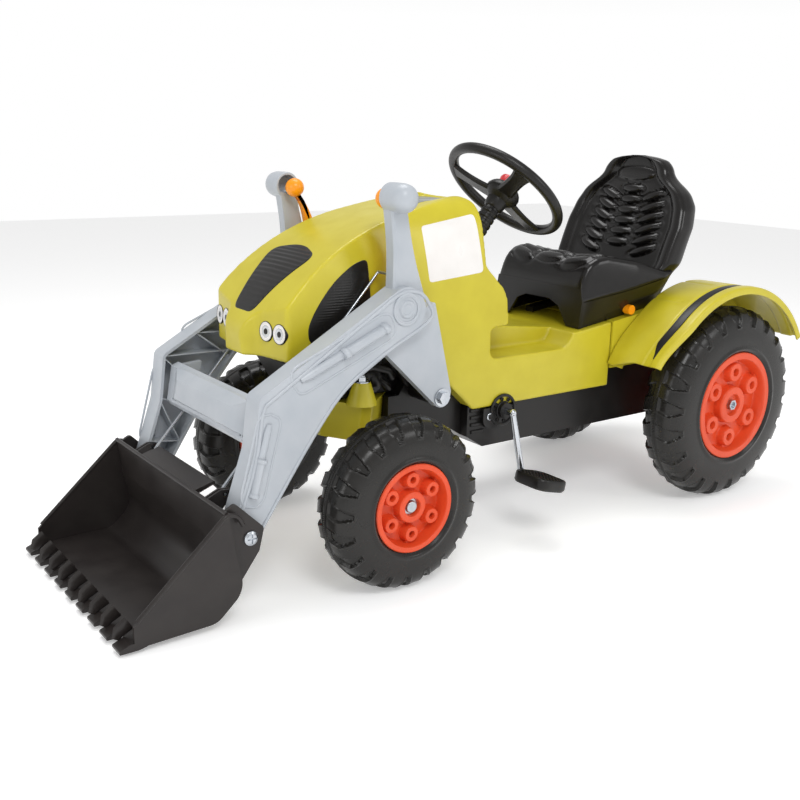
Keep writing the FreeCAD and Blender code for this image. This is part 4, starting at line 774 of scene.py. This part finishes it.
# ------------------------------------------------------------------ steering wheel
def on_column(verts):
    """Points drawn round an upright column, leaned back to the steering column's place."""
    v = np.asarray(verts, float)
    y = WHEEL_CENTRE[0] + v[..., 1] * math.cos(WHEEL_TILT) + v[..., 2] * math.sin(WHEEL_TILT)
    z = WHEEL_CENTRE[1] - v[..., 1] * math.sin(WHEEL_TILT) + v[..., 2] * math.cos(WHEEL_TILT)
    return np.stack([v[..., 0], y, z], axis=-1)


def steering_wheel():
    """Rim with a full section, three dished spokes, hub and raised horn cap."""
    parts = Build()
    t = np.linspace(0, 2 * math.pi, 144, endpoint=False)
    s = np.linspace(0, 2 * math.pi, 28, endpoint=False)
    ring_r, grip_r = 110.5, 9.2
    tube_a = grip_r * np.sign(np.cos(s)) * np.abs(np.cos(s)) ** 0.85
    tube_b = grip_r * np.sin(s)
    r = ring_r + tube_a
    grid = np.stack([np.outer(np.cos(t), r), np.outer(np.sin(t), r), np.tile(tube_b, (len(t), 1))], axis=2)
    parts.grid(on_column(grid), close_u=True, close_v=True)
    for degrees in (90, 210, 330):
        a = math.radians(degrees)
        along, side = np.array([math.cos(a), math.sin(a)]), np.array([-math.sin(a), math.cos(a)])
        loops = []
        for k in np.linspace(0, 1, 14):
            reach = 22 + 86 * k
            drop = -12 + 10 * k ** 1.5
            half = 17 - 6 * k + 9 * k ** 4
            deep = 7.0 - 1.5 * k
            ring = [(-half, -deep * 0.4), (-half, 1.5), (-half + 3, 3), (-half * 0.5, 1.6),
                    (half * 0.5, 1.6), (half - 3, 3),
                    (half, 1.5), (half, -deep * 0.4), (half - 4, -deep), (-half + 4, -deep)]
            loops.append([(*(along * reach + side * p), drop + q) for p, q in ring])
        parts.loft(on_column(np.array(loops)))
    hub = Build().lathe([(-44, 0.1), (-44, 15), (-40, 18), (-26, 20), (-20, 27), (-12, 33), (-6, 33),
                         (0, 30), (3.4, 27), (4, 24),
                         (4, 18.4), (-6, 18.4), (-6, 0.1)], (0, 0, 0), (0, 0, 1), 64)
    parts.add(on_column(np.concatenate(hub.verts)), hub.faces)
    piece(parts.done("steering_wheel_rim", sharp=38.0), black, "steering", "black_plastic", "steering_wheel")
    cap = Build().lathe([(-1.5, 0.1), (-1.5, 18.2), (17.5, 20.5), (21.5, 19.0), (24.0, 13), (25.0, 6),
                         (25.2, 0.1)], (0, 0, 0), (0, 0, 1), 48)
    horn = Build().add(on_column(np.concatenate(cap.verts)), cap.faces)
    piece(horn.done("horn_cap"), red, "horn", "red_plastic", "horn_button")


steering_wheel()


# ------------------------------------------------------------------ loader
def arm_relief(side):
    """Raised border, a cylinder and rod moulded in half relief, and the boss rings."""
    parts = Build()
    x = ARM_OUT
    border = rounded([(-212, 312, 1), (-216, 309, 6), (22, 457, 30), (60, 452, 30), (84, 414, 30),
                      (60, 398, 20), (-12, 364, 50),
                      (-85, 318, 50), (-146, 240, 60), (-226, 122, 12), (-246, 102, 16), (-266, 128, 16),
                      (-238, 200, 10),
                      (-226, 244, 40), (-218, 300, 6), (-212, 312, 1)], 6)
    path = np.stack([np.full(len(border), x + 0.1), border[:, 0], border[:, 1]], axis=1)
    parts.tube(resampled(path, 260), 3.0, around=12, flat=(1.0, 0.75), up=(1, 0, 0))
    for start, end, rod, can in (((-156, 341), (-6, 405), 7.5, 13.0), ((-208, 284), (-236, 178), 6.0, 10.0)):
        a, b = np.array(start, float), np.array(end, float)
        at = lambda k: (x, *(a + (b - a) * k))
        line = lambda k0, k1, n=6: [at(k) for k in np.linspace(k0, k1, n)]
        parts.tube(line(0.0, 0.5), [rod * 0.6, rod, rod, rod, rod, rod], 20)
        parts.tube(line(0.46, 0.52, 4), [can + 1, can + 3, can + 3, can + 1], 24, flat=(1.0, 0.62))
        parts.tube(line(0.52, 0.94), can, 24, flat=(1.0, 0.62))
        parts.tube(line(0.93, 1.0, 4), [can + 1, can + 2.6, can + 2.6, can - 2], 24, flat=(1.0, 0.62))
        run = (b - a) / np.linalg.norm(b - a)
        off = np.array([-run[1], run[0]]) * (can + 9)
        loop = [a - run * 14, a - run * 10 + off * 0.8, a + off, b + off, b + run * 12 + off * 0.7,
                b + run * 14, b + run * 12 - off * 0.7,
                b - off, a - off, a - run * 10 - off * 0.8, a - run * 14]
        ring = rounded([(p[0], p[1], 12) for p in loop], 5)
        parts.tube([(x, p[0], p[1]) for p in resampled(ring, 120)], 2.0, around=10, flat=(1.0, 0.6),
                   up=(1, 0, 0))
    rings = [(-1, 26), (2.2, 25.4), (3.0, 24), (3.0, 22.5), (2.0, 21), (0.8, 20), (0.8, 15), (1.8, 14),
             (3.4, 12.6), (3.4, 9.5),
             (2.4, 8), (1.0, 7), (0.6, 3), (0.5, 0.1)]
    parts.lathe([(x + a, b) for a, b in rings], (0, *BOSS), around=72)
    obj = parts.done("arm_relief_" + side, side == "right", 45.0)
    piece(obj, silver, "loader", "silver_plastic")


def handle(side):
    """Tapered hollow neck with a domed hand grip that is open on its inner end."""
    parts = Build()
    loops = []
    for k in np.linspace(0, 1, 16):
        y = 44 - 24 * k
        z = 446 + 132 * k
        half = 31 - 15 * k - 4 * math.sin(math.pi * k)
        x0, x1 = 151 + 2 * k, 172 + 3 * k
        loops.append([(x0, y - half, z + 4), (x0, y + half, z - 4), (x1 - 3, y + half, z - 4),
                      (x1, y + half - 3, z - 3.5),
                      (x1, y - half + 3, z + 3.5), (x1 - 3, y - half, z + 4)])
    parts.loft(loops)
    parts.lathe([(153, 18), (153, 20.5), (154.5, 22), (166, 22.3), (186, 22.0), (194, 20.5), (201, 16.5),
                 (206, 9.5), (208.2, 0.1)],
                (0, *KNOB), around=64)
    parts.lathe([(153, 18), (153.5, 17.5), (178, 17.2), (181, 14), (182, 0.1)], (0, *KNOB), around=64)
    obj = parts.done("handle_grip_" + side, side == "right", 40.0)
    piece(obj, silver, "loader", "silver_plastic", "handle_" + side)


def lever(side):
    """Orange lever: round grip on a forked stem that turns on the arm's boss."""
    parts = Build()
    t = np.linspace(-math.pi / 2, math.pi / 2, 24)
    ball = [(135.5 + 16.5 * math.sin(a), max(15.8 * math.cos(a), 0.1)) for a in t]
    parts.lathe(ball, (0, 22, 590), around=48)
    stem_half = 4.2
    for shift in (-1, 1):
        loops = []
        for k in np.linspace(0, 1, 12):
            bow = math.sin(math.pi * k) ** 0.8
            y = 29.7 - 6 * k + 24 * bow + shift * 5.5 * math.sin(math.pi * min(1, k * 1.15)) * (1 - 0.2 * k)
            z = 440 + 140 * k
            w = stem_half
            loops.append([(128, y - w, z), (128, y + w, z), (139, y + w, z), (140.5, y + w - 1.5, z),
                          (140.5, y - w + 1.5, z),
                          (139, y - w, z)])
        parts.loft(loops)
    parts.lathe([(127.2, 4.0), (127.2, 12.5), (128.4, 13.8), (139.6, 13.8), (140.8, 12.5), (140.8, 4.0)],
                (0, *BOSS))
    parts.lathe([(140, 4.9), (174, 4.9), (175, 4), (175, 0.1)], (0, *BOSS), around=24)
    obj = parts.done("lever_grip_" + side, side == "right", 45.0)
    piece(obj, orange, "trigger_l" if side == "left" else "trigger_r", "orange_plastic", "trigger_" + side)


for side in ("left", "right"):
    arm_relief(side)
    handle(side)
    lever(side)


# ------------------------------------------------------------------ rounded edges on the plain parts
def moulded_edges(obj, wide, angle):
    """Round the edges that turn by more than an angle."""
    bevel = obj.modifiers.new("moulded edges", "BEVEL")
    bevel.width = wide * 0.001
    bevel.segments = 3
    bevel.limit_method = "ANGLE"
    bevel.angle_limit = math.radians(angle)
    bevel.harden_normals = True


for node, wide in {"rear_deck": 6.0, "axle_carrier": 4.0, "arm_left": 2.2, "arm_right": 2.2,
                   "cross_beam": 1.2,
                   "strut_left": 1.5, "strut_right": 1.5, "bucket": 1.4, "chassis_tub": 2.5,
                   "engine_moulding": 2.0, "tow_hitch": 1.0}.items():
    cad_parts[node].data.shade_smooth()
    moulded_edges(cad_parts[node], wide, 25)


# ------------------------------------------------------------------ column sleeve, beam, bucket and pedals
def column_sleeve():
    """Ribbed sleeve that tapers up to the wheel's hub."""
    parts = Build()
    profile = [(-196, 0.1), (-196, 21)]
    for k in range(12):
        t = -190 + 12 * k
        r = 20 - 0.45 * k
        profile += [(t, r), (t + 2, r + 1.4), (t + 7, r + 1.2), (t + 9, r - 0.4)]
    profile += [(-44, 14), (-44, 0.1)]
    parts.lathe(profile, (0, 0, 0), (0, 0, 1), 56)
    sleeve = Build().add(on_column(np.concatenate(parts.verts)), parts.faces)
    piece(sleeve.done("column_sleeve", sharp=30.0), black, "steering", "black_plastic")


def beam_panel():
    """Raised front of the cross beam with bevelled edges and sloping ends."""
    top, low = np.array([-208.0, 308.0]), np.array([-219.0, 248.0])
    down = (low - top) / np.linalg.norm(low - top)
    out = np.array([-abs(down[1]), down[0]])
    rows = []
    for x, rise, short in ((-128, -1, 6), (-122, 1, 5), (-96, 12, 3), (-90, 13, 3), (90, 13, 3), (96, 12, 3),
                           (122, 1, 5), (128, -1, 6)):
        back = short + max(rise, 0) * 0.9
        ring = [top + down * short, top + down * back + out * rise, low - down * back + out * rise,
                low - down * short, low - down * short - out * 4, top + down * short - out * 4]
        rows.append([(x, p[0], p[1]) for p in ring])
    obj = Build().loft(rows).done("beam_panel", sharp=20.0)
    moulded_edges(obj, 1.6, 18)
    piece(obj, silver, "loader", "silver_plastic")


def bucket_lips():
    """Rolled lips along the bucket's sides and top, and the round backs of its teeth."""
    parts = Build()
    for s in (-1, 1):
        side = rounded([(-422, 46), (-300, 158, 26), (-287, 170, 6), (-270, 166, 20), (-262, 150)], 8)
        parts.tube([(s * 205.5, p[0], p[1]) for p in resampled(side, 60)], 3.4, 14)
    parts.tube([(x, -287, 171) for x in np.linspace(-205, 205, 30)], 3.4, 14)
    for x in np.linspace(-180, 180, 9):
        parts.tube([(x, -424, 35), (x, -439, 26), (x, -444.6, 16)], [9.5, 8.5, 4.5], 12, flat=(1.25, 0.42),
                   up=(1, 0, 0))
    piece(parts.done("bucket_lips", sharp=45.0), charcoal, "scoop", "bucket_plastic")


def foot_pedal(name, s, body, node):
    """Rounded pedal with a raised rim round rows of small studs."""
    cy = CRANK_CENTRE[0] + s * CRANK_ARM * math.cos(CRANK_PHASE)
    cz = CRANK_CENTRE[1] + s * CRANK_ARM * math.sin(CRANK_PHASE)
    lean, rise = math.cos(PEDAL_TILT), math.sin(PEDAL_TILT)
    oval = fine(closed([(173, -35, 22), (173, 35, 22), (251, 35, 24), (251, -35, 24)]), 96)
    centre = np.array([PEDAL_X, 0.0])

    def placed(ring, up):
        return [(x, cy + y * lean + up * rise, cz - y * rise + up * lean) for x, y in ring]

    parts = Build()
    grow = lambda k: centre + (oval - centre) * k
    profile = ((0.8, -12), (0.93, -11), (1.0, -7), (1.0, 4), (0.985, 7.5), (0.95, 9), (0.9, 8.6), (0.87, 6),
               (0.85, 5.2))
    parts.loft([placed(grow(share), up) for share, up in profile])
    for x in np.arange(180, 248, 8.5):
        for y in np.arange(-26, 27, 7.4):
            if abs(x - PEDAL_X) / 36 + abs(y) / 34 < 1.32:
                stud = np.array([(x - 2.6, y - 2.6), (x + 2.6, y - 2.6), (x + 2.6, y + 2.6),
                                 (x - 2.6, y + 2.6)])
                mid = np.array([x, y])
                parts.loft([placed(stud, 5), placed(mid + (stud - mid) * 0.9, 8.0),
                            placed(mid + (stud - mid) * 0.6, 8.8)])
    obj = parts.done(name, s < 0, 35.0)
    piece(obj, black, body, "black_plastic", node)


column_sleeve()
beam_panel()
bucket_lips()
foot_pedal("foot_pedal_left", 1, "pedal_l", "pedal_left")
foot_pedal("foot_pedal_right", -1, "pedal_r", "pedal_right")


# ------------------------------------------------------------------ engine and chassis trim
def engine_trim():
    """Moulded engine shapes between the front wheels, and the ribs on the chassis's sides."""
    parts = Build()
    for s in (-1, 1):
        for i in range(3):
            y = -46 + 42 * i
            pot = [(286, 0.1), (286, 13), (289, 15), (306, 15), (309, 12.5), (313, 12.5), (315, 15),
                   (334, 15), (338, 12), (347, 12), (347, 0.1)]
            parts.lathe([(z - 300, r) for z, r in pot], (s * 84, y, 300), (0, 0, 1), 36)
            parts.tube([(s * 84, y, 300), (s * 88, y + 9, 296), (s * 90, y + 20, 288),
                        (s * 86, y + 30, 278)], 6.5, 16)
        parts.tube([(s * 92, -62, 318), (s * 96, -30, 322), (s * 96, 30, 322), (s * 92, 62, 312),
                    (s * 86, 74, 296)], 7.5, 20)
        parts.tube([(s * 88, 66, 340), (s * 94, 78, 326), (s * 94, 92, 300), (s * 88, 104, 282)], 9.0, 20)
        parts.lathe([(-4, 0.1), (-4, 17), (2, 19), (6, 19), (7, 17), (7, 9), (4, 8), (4, 0.1)],
                    (s * 90, 30, 296), (s, 0, 0), 40)
    piece(parts.done("engine_pipes", sharp=50.0), black, "chassis", "black_plastic")
    ribs = Build()
    for s in (-1, 1):
        for i in range(6):
            z = 182 + 13 * i
            lo, hi = 224 - 1.1 * i, 252
            loop = lambda x, g: [(s * x, lo + g, z + g), (s * x, hi - g, z + g), (s * x, hi - g, z + 6 - g),
                                 (s * x, lo + g, z + 6 - g)]
            ribs.loft([loop(114, 0), loop(117.4, 0), loop(118.6, 1.2)][::s])
    piece(ribs.done("chassis_ribs", sharp=30.0), black, "chassis", "black_plastic")


def crank_trim(side, s):
    """Bearing cover: two raised rings and a circle of small holes, with one plated screw."""
    parts = Build()
    for r_in, r_out, high in ((24, 29, 2.2), (12, 16, 3.0)):
        parts.lathe([(-1, r_out), (high - 0.8, r_out), (high, r_out - 1), (high, r_in + 1),
                     (high - 0.8, r_in), (-1, r_in)],
                    (s * CRANK_COVER_X, *CRANK_CENTRE), (s, 0, 0), 64)
    for i in range(8):
        a = math.radians(45 * i + 10)
        parts.lathe([(-1, 3.4), (1.4, 3.4), (1.8, 2.8), (1.4, 2.2), (0.2, 2.0), (0.2, 0.1)],
                    (s * CRANK_COVER_X, CRANK_CENTRE[0] + 20 * math.cos(a),
                     CRANK_CENTRE[1] + 20 * math.sin(a)),
                    (s, 0, 0), 20)
    piece(parts.done("crank_cover_" + side, sharp=35.0), black, "chassis", "black_plastic")
    screw = Build().lathe([(-1, 0.1), (-1, 6.5), (1.2, 6.5), (2.4, 5.2), (2.8, 2.5), (2.0, 2.0), (2.0, 0.1)],
                          (s * CRANK_COVER_X, 258, 211), (s, 0, 0), 28)
    piece(screw.done("crank_screw_" + side), zinc, "chassis", "zinc_steel")


engine_trim()
crank_trim("left", 1)
crank_trim("right", -1)


# ------------------------------------------------------------------ studio
def studio():
    """Pale floor, white surroundings that dim upwards, and four soft lights."""
    scene = bpy.context.scene
    floor = bpy.data.meshes.new("floor")
    floor.from_pydata([(-6, -6, 0), (6, -6, 0), (6, 6, 0), (-6, 6, 0)], [], [(0, 1, 2, 3)])
    ground = bpy.data.objects.new("floor", floor)
    scene.collection.objects.link(ground)
    mat = bpy.data.materials.new("pale studio floor")
    mat.use_nodes = True
    for socket, value in (("Base Color", colour("f6f6f6")), ("Roughness", 0.9),
                          ("Emission Color", colour("ffffff")), ("Emission Strength", 0.3)):
        mat.node_tree.nodes["Principled BSDF"].inputs[socket].default_value = value
    floor.materials.append(mat)
    world = bpy.data.worlds.new("studio")
    world.use_nodes = True
    tree = world.node_tree
    place = add(tree, "ShaderNodeTexCoord").outputs["Generated"]
    parted = add(tree, "ShaderNodeSeparateXYZ", {0: place})
    fall = add(tree, "ShaderNodeMapRange", {"Value": parted.outputs["Z"]},
               From_Min=0.10, From_Max=0.45, To_Min=1.0, To_Max=0.55)
    tree.links.new(fall.outputs["Result"], tree.nodes["Background"].inputs["Strength"])
    tree.nodes["Background"].inputs["Color"].default_value = colour("ffffff")
    scene.world = world
    for name, place, size, power, aim in (("key", (1.9, -0.9, 2.3), 0.9, 26, (0, 0, 0.3)),
                                          ("side", (2.4, 1.3, 1.5), 0.8, 9, (0, 0.1, 0.3)),
                                          ("top", (-0.5, 0.2, 2.6), 1.2, 24, (0, 0, 0.2)),
                                          ("front", (0.4, -2.8, 1.2), 0.9, 9, (0, 0, 0.3))):
        light = bpy.data.lights.new(name, "AREA")
        light.size = size
        light.energy = power
        obj = bpy.data.objects.new(name, light)
        obj.location = place
        obj.rotation_euler = (Vector(aim) - Vector(place)).to_track_quat("-Z", "Y").to_euler()
        scene.collection.objects.link(obj)


def camera():
    """Long-lens camera ahead and to the rider's left of the tractor."""
    turn, rise, roll = math.radians(53.7), math.radians(15.05), math.radians(1.33)
    back = Vector((math.sin(turn) * math.cos(rise), -math.cos(turn) * math.cos(rise), math.sin(rise)))
    right = Vector((math.cos(turn), math.sin(turn), 0))
    up = back.cross(right)
    right, up = right * math.cos(roll) + up * math.sin(roll), up * math.cos(roll) - right * math.sin(roll)
    data = bpy.data.cameras.new("camera")
    data.lens = 45.61515
    data.sensor_width = 36.0
    obj = bpy.data.objects.new("camera", data)
    turned = Matrix((right, up, back)).transposed().to_4x4()
    turned.translation = Vector((1.40114, -0.87281 + AXLE_Y, 0.69331))
    obj.matrix_world = turned
    bpy.context.scene.collection.objects.link(obj)
    bpy.context.scene.camera = obj


studio()
camera()
bpy.context.scene.view_settings.view_transform = "Standard"
